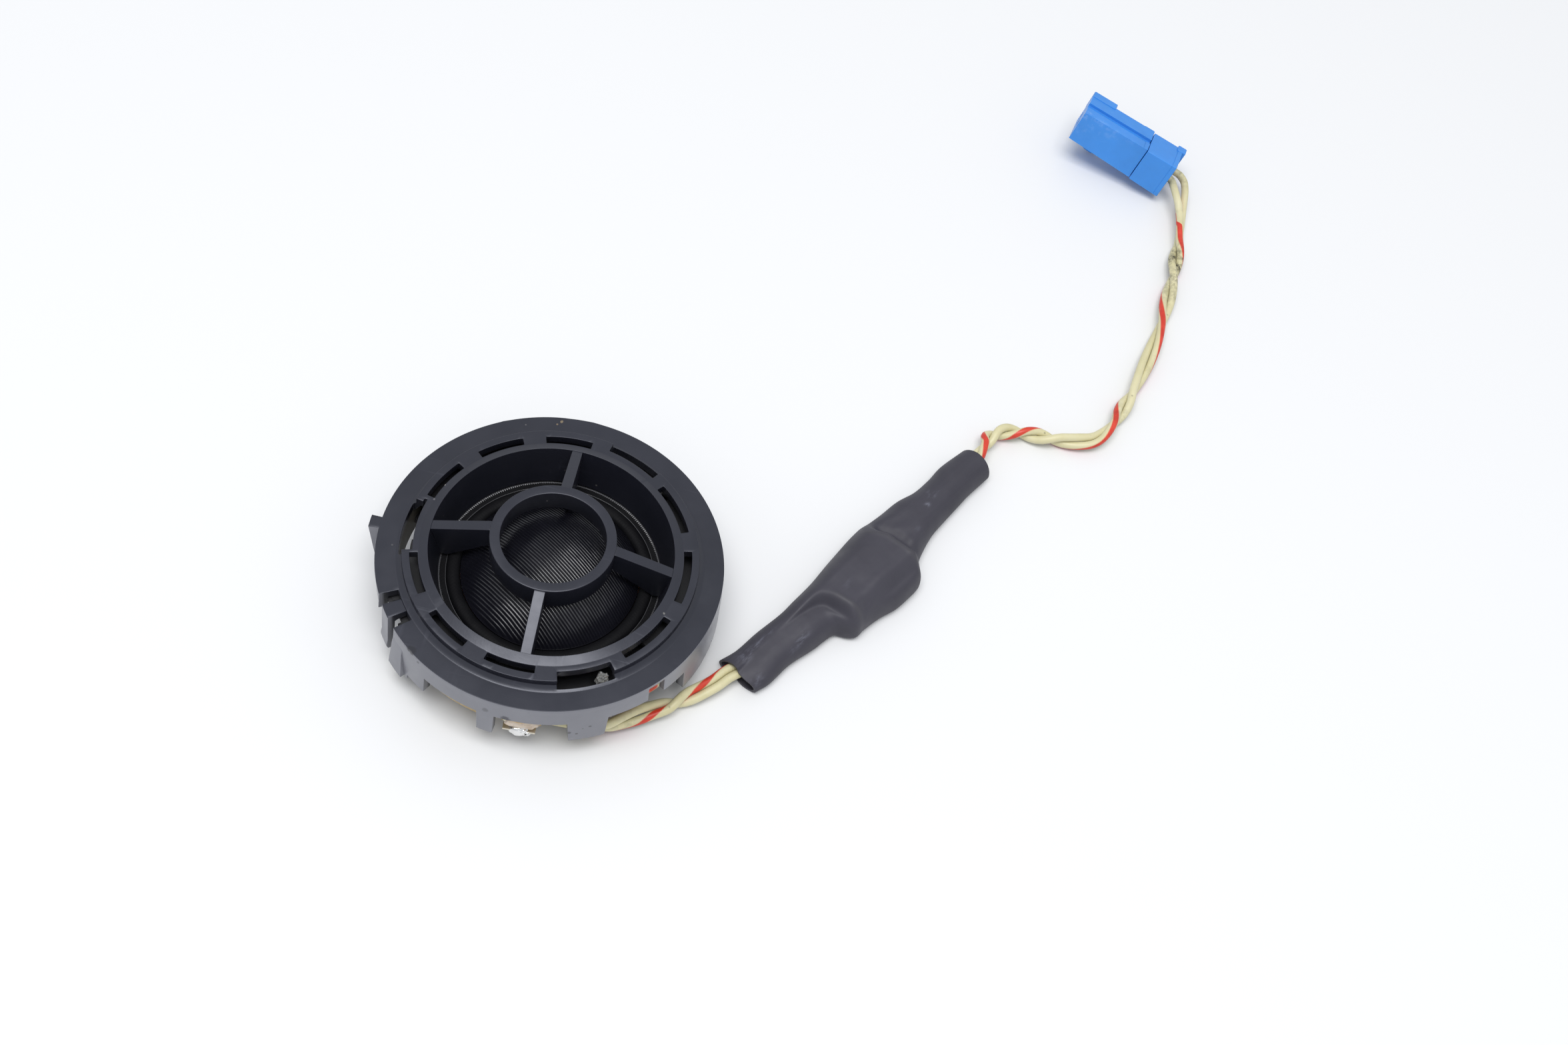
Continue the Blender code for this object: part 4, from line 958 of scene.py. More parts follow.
def thread_rows(a):
    tooth = max(0.0, math.sin(2 * math.pi * a / 1.16 + 0.8 * math.sin(a * 0.31)) + 0.25) ** 0.7
    keep = 0.55 + 0.45 * noise.noise(Vector((a * 0.30, 0.0, 0.0)))
    keep *= glint(a, (140.0, 22.0), (52.0, 16.0))
    h = 0.02 + 0.17 * tooth * keep
    r = 16.08 + 0.04 * noise.noise(Vector((a * 0.8, 5.0, 0)))
    return [(r - 0.24 - 0.14 * tooth, 7.98), (r - 0.12, 8.0 + 0.8 * h), (r + 0.02, 8.02 + h), (r + 0.13, 8.0 + 0.7 * h), (r + 0.22, 7.98)]


threads("surround_crease", 720, crease_rows)
threads("surround_thread_ring", 1550, thread_rows)

# ------------------------------------------------------------------ leads
WIRE_D = 1.35


def sleeve_point(s, p, z):
    az = math.radians(60.2)
    return Vector((30.16, -4.81, 0)) + Vector((math.cos(az), math.sin(az), 0)) * s + Vector((-math.sin(az), math.cos(az), 0)) * p + Vector((0, 0, z))


CN_ORIGIN = Vector((64.49, 121.16, 11.72))
CN_ROT = (Matrix.Rotation(math.radians(-11.67), 3, "Z") @ Matrix.Rotation(math.radians(10.66), 3, "Y") @ Matrix.Rotation(math.radians(-12.79), 3, "X"))
CAV_V, CAV_W = (2.15, 4.95), -3.6
CAV_MID, CAV_HALF = 3.55, 1.4
CN_L, CN_W, CN_H, CN_H_REAR, CN_SPLIT = 19.41, 7.6, 6.1, 6.85, 13.2


def cn_height(u):
    return CN_H + (CN_H_REAR - CN_H) * u / CN_L


def cn_point(u, v, w):
    return CN_ORIGIN + CN_ROT @ Vector((u, v, w))


pair_lower = [polar(22.9, 302.0, 2.9), (14.2, -18.9, 2.9), (15.7, -17.7, 2.7), (17.6, -16.0, 2.35), (19.4, -14.4, 2.0), (21.7, -12.6, 1.8), (23.7, -10.75, 1.65),
              (25.4, -9.1, 1.65), (27.3, -7.1, 1.75), (28.9, -4.9, 1.8), sleeve_point(1.0, 0.55, 1.85), sleeve_point(3.0, 0.45, 1.9), sleeve_point(6.0, -0.1, 2.15)]
pair_upper = [sleeve_point(49.0, 0.1, 2.3), sleeve_point(53.5, 0.05, 2.3), (58.3, 45.2, 2.25), (59.2, 48.2, 2.1), (60.3, 51.3, 1.75),
              (63.2, 53.2, 1.55), (67.4, 53.8, 1.52), (70.9, 54.1, 1.52), (74.3, 54.8, 1.52), (77.1, 56.1, 1.52), (79.1, 58.9, 1.52),
              (80.7, 63.0, 1.52), (82.4, 68.7, 1.52), (84.2, 76.3, 1.52), (85.5, 84.0, 1.52), (86.3, 92.3, 1.52), (86.7, 100.0, 1.55),
              (86.75, 106.5, 1.7), (86.45, 111.2, 2.2), (85.9, 114.3, 2.9), cn_point(20.9, CAV_MID - 0.25, CAV_W), cn_point(19.2, CAV_MID, CAV_W),
              cn_point(17.0, CAV_MID, CAV_W), cn_point(15.2, CAV_MID, CAV_W)]


def pair_strands(points, keys, spread):
    """Two strands that wind round each other along a route.

    keys are (route length, turn in degrees) of the plain strand from upright towards the left of travel, and spread is (length, offset).
    """
    fine = smooth_route(points, 0.5)
    total = fine[-1][0]
    keys = [(s if s >= 0 else s + total, p) for s, p in keys]
    spread = [(s if s >= 0 else s + total, p) for s, p in spread]
    rows = []
    for i, (s, c) in enumerate(fine):
        a, b = fine[max(0, i - 1)][1], fine[min(len(fine) - 1, i + 1)][1]
        t = (b - a).normalized()
        left = Vector((0, 0, 1)).cross(t).normalized()
        up = t.cross(left)
        ph, w = keys[-1][1], ease(spread, s)
        if s <= keys[0][0]:
            ph = keys[0][1]
        for (s0, p0), (s1, p1) in zip(keys, keys[1:]):
            if s0 <= s <= s1:
                ph = p0 + (p1 - p0) * (s - s0) / (s1 - s0)
                break
        ph = math.radians(ph)
        d = up * math.cos(ph) + left * math.sin(ph)
        rows.append((c, d, w, s))
    plain = [(c + d * w, d) for c, d, w, s in rows]
    striped = [(c - d * w, -d) for c, d, w, s in rows]
    return plain, striped, fine


def route_length_at(points, x, y):
    fine = smooth_route(points, 0.5)
    return min(fine, key=lambda q: (q[1].x - x) ** 2 + (q[1].y - y) ** 2)[0]


W = 0.69
ua = lambda x, y: route_length_at(pair_upper, x, y)
la = lambda x, y: route_length_at(pair_lower, x, y)
upper_keys = [(0.0, -90.0), (3.0, -60.0), (ua(58.0, 44.5), 95.0), (ua(59.1, 48.6), 180.0), (ua(61.3, 52.2), 360.0), (ua(65.8, 53.6), 540.0), (ua(71.2, 54.2), 720.0),
              (ua(79.9, 61.0), 900.0), (ua(82.2, 68.0), 1080.0), (ua(85.7, 85.3), 1260.0), (ua(86.6, 97.0), 1440.0), (ua(86.8, 105.5), 1620.0),
              (-6.5, 1697.2), (1000.0, 1697.2)]
lower_keys = [(0.0, -40.0), (la(15.2, -18.2), 0.0), (la(17.2, -16.4), 25.0), (la(19.4, -14.4), 66.0), (la(21.3, -12.9), 95.0), (la(22.9, -11.4), 172.0),
              (la(24.6, -9.9), 242.0), (la(26.4, -8.0), 268.0), (la(29.6, -3.6), 270.0), (1000.0, 270.0)]
up_plain, up_striped, up_fine = pair_strands(pair_upper, upper_keys, [(0.0, 0.80), (6.0, W), (-15.0, W), (-7.0, CAV_HALF), (1000.0, CAV_HALF)])
lo_plain, lo_striped, lo_fine = pair_strands(pair_lower, lower_keys, [(0.0, 0.95), (5.0, 0.9), (10.0, W), (1000.0, W)])


def chain(before, pair, after):
    """(point, outward) rows through loose points, a strand of a pair, and more loose points."""
    pts = [Vector(p) for p in before] + [p for p, d in pair] + [Vector(p) for p in after]
    hint = [pair[0][1]] * len(before) + [d for p, d in pair] + [pair[-1][1]] * len(after)
    return pts, hint


def resample(pts, hint, spacing=0.42):
    """Even points with outward hints, smoothed through the joins."""
    keep_p, keep_h = [pts[0]], [hint[0]]
    for p, h in zip(pts[1:], hint[1:]):
        if (p - keep_p[-1]).length > 0.9:
            keep_p.append(p)
            keep_h.append(h)
    if (keep_p[-1] - pts[-1]).length > 1e-6:
        keep_p[-1] = pts[-1]
    route = smooth_route(keep_p, spacing)
    cum = [0.0]
    for a, b in zip(keep_p, keep_p[1:]):
        cum.append(cum[-1] + (b - a).length)
    total = route[-1][0]
    out_p, out_h = [], []
    for s, p in route:
        x = s / total * cum[-1]
        j = max(0, min(len(cum) - 2, next((k for k in range(len(cum) - 1) if cum[k + 1] >= x), len(cum) - 2)))
        f = (x - cum[j]) / max(1e-9, cum[j + 1] - cum[j])
        h = keep_h[j].lerp(keep_h[j + 1], f)
        out_p.append(p)
        out_h.append(h if h.length > 0.05 else keep_h[j])
    return out_p, out_h


def lead(name, mat, slot, pts, hint, soot=(), stripe_half=46.0, sides=20, bare=(0.0, 0.0)):
    """An insulated lead as a mesh tube, with its stripe and soot held as point attributes."""
    pts, hint = resample(pts, hint)
    n = len(pts)
    verts, faces, stripe, dirt = [], [], [], []
    r = WIRE_D / 2
    last = None
    for i, p in enumerate(pts):
        t = (pts[min(n - 1, i + 1)] - pts[max(0, i - 1)]).normalized()
        h = hint[i] - t * hint[i].dot(t)
        if h.length < 0.15 and last is not None:
            h = last - t * last.dot(t)
        h.normalize()
        if last is not None and h.dot(last) < 0.2:      # keep the frame from flipping where hints meet
            h = (last - t * last.dot(t)).normalized().lerp(h, 0.35).normalized()
        last = h
        side = t.cross(h)
        rr = r * (1.0 + 0.012 * noise.noise(Vector((i * 0.11, 0.0, 4.0))))
        if i in (0, n - 1):
            rr *= 0.90
        black = 0.0
        for c, reach, amount in soot:
            black = max(black, amount * math.exp(-((p - Vector(c)).length / reach) ** 2))
        for k in range(sides):
            a = 2 * math.pi * k / sides
            deg = (math.degrees(a) + 180.0) % 360.0 - 180.0
            verts.append(p + (h * math.cos(a) + side * math.sin(a)) * rr)
            edge = abs(deg) + 3.0 * noise.noise(Vector((i * 0.35, k * 0.4, 2.0)))
            stripe.append(1.0 - step(stripe_half - 4.0, stripe_half + 6.0, edge))
            dirt.append(black)
    for i in range(n - 1):
        for k in range(sides):
            k2 = (k + 1) % sides
            faces.append((i * sides + k, i * sides + k2, (i + 1) * sides + k2, (i + 1) * sides + k))
    # rounded ends
    for end, i in ((0, 0), (1, n - 1)):
        c = len(verts)
        t = (pts[1] - pts[0]).normalized() * -0.08 if end == 0 else (pts[-1] - pts[-2]).normalized() * 0.08
        verts.append(pts[i] + t)
        stripe.append(0.0)
        dirt.append(0.0)
        for k in range(sides):
            k2 = (k + 1) % sides
            faces.append((i * sides + k2, i * sides + k, c) if end == 0 else (i * sides + k, i * sides + k2, c))
    me = mesh_from(name, verts, faces)
    for key, values in (("stripe", stripe), ("soot", dirt)):
        at = me.attributes.new(key, "FLOAT", "POINT")
        at.data.foreach_set("value", np.array(values, np.float32))
    ob = link(name, me, mat, "housing", sharp=60.0)
    length = sum((b - a).length for a, b in zip(pts, pts[1:]))
    return ob, [tuple(p * MM) for p in pts], length * MM


plain_lower_pts = chain([polar(21.3, 281.0, 3.5), polar(21.4, 286.0, 3.2), polar(21.9, 294.0, 2.6)], lo_plain[2:],
                        [sleeve_point(9.5, -2.0, 2.4), sleeve_point(12.6, -2.2, 2.5)])
plain_upper_pts = chain([sleeve_point(39.0, -2.2, 2.5), sleeve_point(42.5, -1.8, 2.4), sleeve_point(46.0, -1.0, 2.3)], up_plain,
                        [cn_point(12.8, CAV_V[1], CAV_W)])
striped_pts_a = [polar(22.6, 311.0, 7.9), polar(23.0, 315.4, 9.2), polar(23.4, 320.5, 10.2), polar(23.55, 324.0, 10.1), polar(23.5, 325.4, 8.8),
                 polar(22.9, 325.0, 6.9), polar(22.1, 322.6, 5.2), polar(21.3, 318.0, 3.9), polar(20.9, 311.0, 3.1), polar(21.2, 305.0, 2.8)]
striped_mid = [sleeve_point(9.5, 0.9, 2.3), sleeve_point(14.0, 0.9, 2.5), sleeve_point(19.0, 0.95, 2.6), sleeve_point(26.0, 1.2, 2.7),
               sleeve_point(33.0, 1.3, 2.6), sleeve_point(40.0, 1.3, 2.4), sleeve_point(46.0, 1.0, 2.3)]


def lerp_hints(a, b, n):
    return [a.lerp(b, (k + 1) / (n + 1)) for k in range(n)]


sp = [Vector(p) for p in striped_pts_a] + [p for p, d in lo_striped[2:]] + striped_mid + [p for p, d in up_striped] + [cn_point(12.8, CAV_V[0], CAV_W)]
outward = [Vector(polar(1.0, math.degrees(math.atan2(p.y, p.x)) - 62.0)) for p in [Vector(q) for q in striped_pts_a]]
sh = (outward + [d for p, d in lo_striped[2:]] + lerp_hints(lo_striped[-1][1], up_striped[0][1], len(striped_mid))
      + [d for p, d in up_striped] + [up_striped[-1][1]])



def stripe_dirs(fine, keys):
    """Where the stripe faces along a route, from (length, angle) keys measured from upright towards the left of travel."""
    out = []
    for i, (s, c) in enumerate(fine):
        t = (fine[min(len(fine) - 1, i + 1)][1] - fine[max(0, i - 1)][1]).normalized()
        left = Vector((0, 0, 1)).cross(t).normalized()
        up = t.cross(left)
        a = keys[-1][1]
        if s <= keys[0][0]:
            a = keys[0][1]
        for (s0, a0), (s1, a1) in zip(keys, keys[1:]):
            if s0 <= s <= s1:
                a = a0 + (a1 - a0) * (s - s0) / (s1 - s0)
                break
        a = math.radians(a)
        out.append(up * math.cos(a) + left * math.sin(a))
    return out


lower_stripe = stripe_dirs(lo_fine, [(0.0, -190.0), (la(17.4, -16.3), -122.0), (la(21.3, -12.9), 66.0), (la(24.0, -10.8), 240.0), (la(27.8, -6.0), 425.0), (la(30.0, -2.8), 470.0), (1000.0, 520.0)])
sh = (outward + lower_stripe[2:] + lerp_hints(lower_stripe[-1], up_striped[0][1], len(striped_mid))
      + [(d if p.y < 109.3 else (-d if p.y > 112.3 else d.cross(Vector((0.0, 1.0, 0.0))))) for p, d in up_striped] + [-up_striped[-1][1]])

SOOT = (((86.8, 100.5, 1.6), 3.2, 1.0), ((86.8, 96.0, 1.6), 2.6, 0.7), ((86.6, 92.0, 1.6), 2.0, 0.4), ((81.0, 62.0, 1.6), 2.4, 0.25), ((16.5, -17.0, 2.0), 2.6, 0.25),
        (tuple(cn_point(20.5, 3.5, -3.0)), 2.6, 0.55))
low, low_path, low_len = lead("lead_plain_a", IVORY.m, "ivory_wire_insulation", *plain_lower_pts, soot=SOOT)
upp, upp_path, upp_len = lead("lead_plain_b", IVORY.m, "ivory_wire_insulation", *plain_upper_pts, soot=SOOT)
red, red_path, red_len = lead("lead_red_stripe", IVORY_RED.m, "ivory_wire_insulation_red_stripe", sp, sh, soot=SOOT)
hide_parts("lead_plain_lower")
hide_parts("lead_plain_upper")
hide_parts("lead_striped")

# ------------------------------------------------------------------ heat-shrink sleeve
# (distance, far edge, near edge, top, squareness)
SLEEVE = ((0.0, 3.55, -3.60, 2.95), (2.8, 3.0, -4.10, 3.5), (7.3, 2.97, -4.0, 4.0), (12.3, 2.60, -4.75, 4.5),
          (15.0, 2.70, -4.95, 4.6), (16.4, 2.75, -5.35, 4.6), (17.4, 2.80, -6.9, 4.6), (18.4, 2.85, -7.75, 4.6), (20.2, 3.05, -7.75, 4.6), (23.5, 3.55, -8.05, 4.6),
          (26.7, 3.95, -8.75, 4.6), (29.7, 4.30, -8.85, 4.6), (32.2, 4.45, -8.65, 4.6), (33.4, 4.40, -7.95, 4.6), (34.4, 4.25, -6.75, 4.6), (35.5, 4.15, -5.85, 4.6),
          (37.5, 4.00, -5.0, 4.6), (41.1, 3.85, -4.0, 4.6), (44.6, 3.15, -3.6, 4.45), (48.5, 3.15, -3.3, 4.35), (51.8, 3.45, -3.05, 4.35), (57.0, 3.05, -3.05, 4.1))


def sleeve_at(s):
    ss = [row[0] for row in SLEEVE]
    i = max(0, min(len(ss) - 2, next((k for k in range(len(ss) - 1) if ss[k + 1] >= s), len(ss) - 2)))
    vals = []
    for c in range(1, 4):
        y = [row[c] for row in SLEEVE]
        p0, p1, p2, p3 = y[max(0, i - 1)], y[i], y[i + 1], y[min(len(y) - 1, i + 2)]
        x0, x1, x2, x3 = ss[max(0, i - 1)], ss[i], ss[i + 1], ss[min(len(ss) - 1, i + 2)]
        m1 = (p2 - p0) / max(1e-6, x2 - x0)
        m2 = (p3 - p1) / max(1e-6, x3 - x1)
        h = x2 - x1
        t = (s - x1) / h
        vals.append((2 * t ** 3 - 3 * t * t + 1) * p1 + (t ** 3 - 2 * t * t + t) * h * m1 + (-2 * t ** 3 + 3 * t * t) * p2 + (t ** 3 - t * t) * h * m2)
    return vals


def soft_plus(x, k):
    return k * math.log1p(math.exp(min(40.0, x / k)))


def soft_min(a, b, k):
    return -k * math.log(math.exp(-a / k) + math.exp(-b / k))


def soft_max(a, b, k):
    return k * math.log(math.exp(a / k) + math.exp(b / k))


def drape(s, p):
    """Height of the film over the splices and the boxy capacitor, and how sharp its crest is there."""
    base = sleeve_at(s)[2]
    low = 17.75 - 0.20 * max(-6.3, min(1.5, p))            # the capacitor's lower end
    high = 32.75 - 0.10 * p - 0.45 * max(0.0, p + 0.6)      # and its upper end
    a = 6.85 - (0.34 + 2.2 * step(0.3, -2.4, p)) * soft_plus(low - s, 0.24)
    b = 6.95 - (0.8 + 0.9 * step(3.0, 0.0, p)) * soft_plus(s - high, 0.30)
    c = 6.85 - 1.18 * soft_plus(-(p + 5.15), 0.42)
    d = 6.95 - 0.50 * soft_plus(p - 0.5, 0.8)
    box = soft_min(soft_min(a, b, 0.16), soft_min(c, d, 0.2), 0.18)
    h = soft_max(base, box, 0.22)
    over = step(base - 0.1, base + 1.2, box)
    crest_a = math.exp(-((s - low - 0.45) / 0.42) ** 2) * step(-0.6, -2.8, p) * step(-8.2, -6.2, p)
    crest_b = math.exp(-((s - high + 0.30) / 0.40) ** 2) * step(3.6, 1.5, p) * step(-7.6, -5.6, p)
    h += 0.13 * crest_a + 0.10 * crest_b
    h -= 0.55 * math.exp(-((s - 21.2) / 1.05) ** 2 - ((p + 6.35) / 1.0) ** 2) * over
    h -= 0.22 * math.exp(-((s - 22.5) / 1.6) ** 2 - ((p + 3.2) / 1.2) ** 2) * over
    h += 0.16 * math.exp(-((s - 26.5) / 2.4) ** 2 - ((p + 4.6) / 0.7) ** 2) * over
    h += 0.14 * math.exp(-((p - 0.2 - 0.03 * (s - 20.0)) / 0.7) ** 2) * step(19.0, 21.0, s) * step(31.0, 27.0, s)
    # the waist above the capacitor, with its drawn-in folds
    h -= 0.45 * math.exp(-((s - high - 1.9) / 0.9) ** 2) * step(3.8, 1.0, p)
    h += 0.10 * math.sin(2.2 * p + 0.6 * s) * math.exp(-((s - 36.2) / 2.2) ** 2)
    return h, min(1.0, crest_a + crest_b)


def sleeve_section(s, count_top=56, count_low=18):
    """The outline of the film across its length, as (p, z, crest) from the near edge over the top to the far edge and back below."""
    far, near, top = sleeve_at(s)
    boxy = step(16.5, 18.5, s) * step(34.5, 32.5, s)
    out = []
    lip = 1.15
    for k in range(count_top + 1):
        f = 0.5 - 0.5 * math.cos(math.pi * k / count_top)
        p = near + (far - near) * f
        h, crest = drape(s, p)
        dn, df = p - near, far - p
        rn, rf = 3.2 - 1.5 * boxy, 3.3 - 0.2 * boxy
        e = 1.0
        if dn < rn:
            e *= math.sqrt(max(0.0, 1 - (1 - dn / rn) ** 2.2))
        if df < rf:
            e *= math.sqrt(max(0.0, 1 - (1 - df / rf) ** 2.2))
        z = lip + (h - lip) * e
        wr = 0.05 * noise.noise(Vector((s * 0.35, p * 0.35, 1.0))) + 0.02 * noise.noise(Vector((s * 1.1, p * 1.1, 5.0)))
        out.append((p, z + wr * e, crest * e))
    for k in range(1, count_low):
        f = k / count_low
        p = far + (near - far) * (0.5 - 0.5 * math.cos(math.pi * f))
        d = min(far - p, p - near)
        e = 1.0 if d > 1.3 else math.sqrt(max(0.0, 1 - (1 - d / 1.3) ** 2))
        out.append((p, lip - (lip - 0.05) * e, 0.0))
    return out


def build_sleeve():
    n = 250
    verts, faces, scuff, crest_v = [], [], [], []
    marks_at = ((2.6, 0.9, 1.6, 0.8, 0.9), (5.6, 0.9, 2.6, 0.32, 0.75), (1.2, -2.9, 0.9, 0.7, 0.6), (10.4, -3.0, 1.4, 0.55, 0.85), (8.2, -3.2, 0.5, 0.3, 0.6),
                (43.0, -0.6, 0.45, 0.4, 0.9), (45.7, 0.1, 1.3, 0.22, 0.85), (45.2, 0.5, 0.4, 0.9, 0.6), (38.4, -2.3, 0.5, 0.4, 0.35), (21.5, -2.2, 1.2, 0.7, 0.16))
    for layer, wall in ((0, 0.0), (1, 0.42)):
        for i in range(n + 1):
            s = 56.96 * i / n
            far, near, top = sleeve_at(s)
            mid, half = (far + near) / 2, (far - near) / 2
            section = sleeve_section(s)
            m = len(section)
            zc = (max(q[1] for q in section) + 0.05) / 2
            for p, z, crest in section:
                if wall:
                    p = mid + (p - mid) * (half - wall) / half
                    z = zc + (z - zc) * (zc - wall) / zc
                # the cut ends aren't quite square
                slant = 0.0
                if s < 3.0:
                    slant = (1 - s / 3.0) * (0.16 * math.sin(p * 1.3) - 0.10 * (z - 2.0))
                if s > 54.0:
                    slant = (s - 54.0) / 2.96 * (0.22 - 0.05 * (p * p) / 2.0 + 0.06 * (z - 2.0))
                verts.append(sleeve_point(s + slant, p, z))
                v = 0.0
                for cs, cp, ls, lp, amount in marks_at:
                    v = max(v, amount * math.exp(-((s - cs) / ls) ** 2 - ((p - cp) / lp) ** 2))
                scuff.append(v if z > 1.5 else 0.0)
                crest_v.append(crest)
    size = (n + 1) * m
    for layer in (0, 1):
        for i in range(n):
            for k in range(m):
                k2 = (k + 1) % m
                a, b = layer * size + i * m, layer * size + (i + 1) * m
                faces.append((a + k, a + k2, b + k2, b + k) if layer == 0 else (a + k2, a + k, b + k, b + k2))
    for k in range(m):
        k2 = (k + 1) % m
        faces.append((k2, k, size + k, size + k2))
        faces.append((n * m + k, n * m + k2, size + n * m + k2, size + n * m + k))
    me = mesh_from("shrink_sleeve", verts, faces)
    for key, values in (("scuff", scuff), ("crest", crest_v)):
        at = me.attributes.new(key, "FLOAT", "POINT")
        at.data.foreach_set("value", np.array(values, np.float32))
    ob = link("shrink_sleeve", me, SHRINK.m, "housing", sharp=60.0)
    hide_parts("heat_shrink_sleeve")
    return ob


sleeve = build_sleeve()

# ------------------------------------------------------------------ connector


def nose_solid(u, v, w):
    if v > 7.3:
        if u < 4.9:
            if not (v < 8.6 and -3.2 < w < 0.0):
                return False
        elif u < 11.2:
            if not (v < 8.0 and -2.4 < w < -0.5):
                return False
        else:
            return False
    if w > -0.55 and 2.3 < v < 3.95 and u > 0.0:      # the groove along the top
        return False
    for c in CAV_V:
        if c - 1.05 < v < c + 1.05 and CAV_W - 1.05 < w < CAV_W + 1.05 and u > 1.0:
            return False
        if c - 0.6 < v < c + 0.6 and CAV_W - 0.6 < w < CAV_W + 0.6:
            return False
    return True


def cn_place(u, v, w):
    return cn_point(u, v, w * cn_height(u) / CN_H if w < -4.8 else w)


def grid_place(u, v, w):
    return cn_place(u, v, w)


nose_us = [0.0, 1.0, 4.9, 11.2, CN_SPLIT]
nose_vs = [0.0, 1.1, 1.55, 2.3, 2.75, 3.2, 3.9, 3.95, 4.35, 5.55, 6.0, 7.3, 8.0, 8.6]
nose_ws = [-CN_H, -4.65, -4.2, -3.2, -3.0, -2.55, -2.4, -0.55, -0.5, 0.0]
nose = link("connector_nose", box_complex("connector_nose", nose_us, nose_vs, nose_ws, nose_solid, cn_place), BLUE.m, "housing")
bevelled(nose, 0.13, 3, 28.0)
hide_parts("connector_housing")


def cn_block(name, lo, hi, body, bevel=0.12, taper=0.0):
    """A rounded block on the connector's axes, in (u, v, w) millimetres."""
    verts = [cn_point(u, v, w) for u in (lo[0], hi[0]) for v in (lo[1], hi[1]) for w in (lo[2], hi[2])]
    faces = [(0, 1, 3, 2), (4, 6, 7, 5), (0, 4, 5, 1), (2, 3, 7, 6), (0, 2, 6, 4), (1, 5, 7, 3)]
    ob = link(name, mesh_from(name, verts, faces), BLUE.m, body)
    bevelled(ob, bevel, 2)
    return ob


extras = [cn_block("connector_nose_band", (12.35, -0.02, -5.9), (CN_SPLIT + 0.02, 2.4, 0.12), "housing"),
          cn_block("connector_nose_tab", (11.15, 4.0, -2.2), (CN_SPLIT, 7.75, -0.12), "housing"),
          cn_block("connector_nose_rail", (0.05, 6.6, -2.9), (4.85, 8.55, 0.16), "housing", 0.1)]


# lock arm: a thin strip under the nose with its prop tooth on the far side
ARM = ((3.0, 0.95), (12.25, 0.35), (12.25, 1.1), (6.6, 1.55), (5.4, 3.15), (3.8, 3.15), (3.05, 2.65))
arm = link("lock_arm", mesh_from("lock_arm", [cn_point(u, v, -cn_height(u) - d) for v in (5.3, 6.75) for u, d in ARM],
                                 [tuple(range(7)), tuple(range(7, 14))] + [(i, (i + 1) % 7, (i + 1) % 7 + 7, i + 7) for i in range(7)]),
           BLUE.m, "connector_lock")
bevelled(arm, 0.1, 2)
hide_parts("connector_lock_arm")


def holder_solid(u, v, w):
    if u > 18.3 and not (-0.33 < v < 6.88):
        return True if -6.0 < w else False
    for c in CAV_V:
        if (0.42 if c < 3.0 else c - 1.2) < v < c + 1.2 and CAV_W - 1.78 < w < CAV_W + 1.25:
            return False
    return -0.36 < v < 6.91


def holder_place(u, v, w):
    if w < -5.5:
        w = w * (cn_height(u) + 0.05) / CN_H
    return cn_point(u, v, w)


holder = link("connector_holder", box_complex("connector_holder", [CN_SPLIT + 0.12, 14.4, 18.35, CN_L], [-0.35, 0.43, 3.35, 3.75, 6.15, 6.9],
              [-CN_H, -5.36, -2.35, 0.05], holder_solid, holder_place), BLUE.m, "rear_holder")
bevelled(holder, 0.13, 3, 28.0)
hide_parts("connector_rear_holder")
extras += [cn_block("connector_holder_rim_near", (18.55, -0.50, -6.8), (CN_L + 0.02, 0.36, 0.18), "rear_holder", 0.12),
           cn_block("connector_holder_rim_top", (18.55, 0.1, -0.6), (CN_L + 0.02, 6.8, 0.18), "rear_holder", 0.10),
           cn_block("connector_holder_bump", (18.3, 5.5, -2.6), (CN_L + 0.62, 7.3, 0.30), "rear_holder", 0.16)]


def soot_on(ob, places, name="soot"):
    me = ob.data
    at = me.attributes.new(name, "FLOAT", "POINT")
    values = np.zeros(len(me.vertices), np.float32)
    for i, v in enumerate(me.vertices):
        p = v.co / MM
        values[i] = max([a * math.exp(-((p - c).length / r) ** 2) for c, r, a in places] + [0.0])
    at.data.foreach_set("value", values)


blue_dirt = [(cn_point(2.4, 0.0, -1.25), 0.55, 1.0), (cn_point(3.4, 0.0, -1.35), 0.5, 0.9), (cn_point(1.6, 0.0, -1.5), 0.35, 0.7), (cn_point(13.3, 0.0, -1.6), 0.55, 1.0),
             (cn_point(13.3, -0.2, -3.0), 0.5, 0.9), (cn_point(13.6, 0.0, -0.9), 0.5, 0.9), (cn_point(16.6, -0.3, -3.6), 0.6, 0.5), (cn_point(9.0, 0.0, -3.2), 0.5, 0.4)]
front_wear = [(cn_point(0.0, v, 0.0), 0.28, 0.8) for v in (0.2, 0.9, 1.6, 4.6, 5.6, 7.2)] + [(cn_point(0.0, 0.0, w), 0.28, 0.7) for w in (-0.6, -1.6, -2.8, -4.2)]
front_wear += [(cn_point(13.2, 0.0, w), 0.25, 0.5) for w in (-0.6, -2.2, -4.0)]
for ob in [nose, holder] + extras:
    soot_on(ob, blue_dirt)
    soot_on(ob, front_wear, "wear")

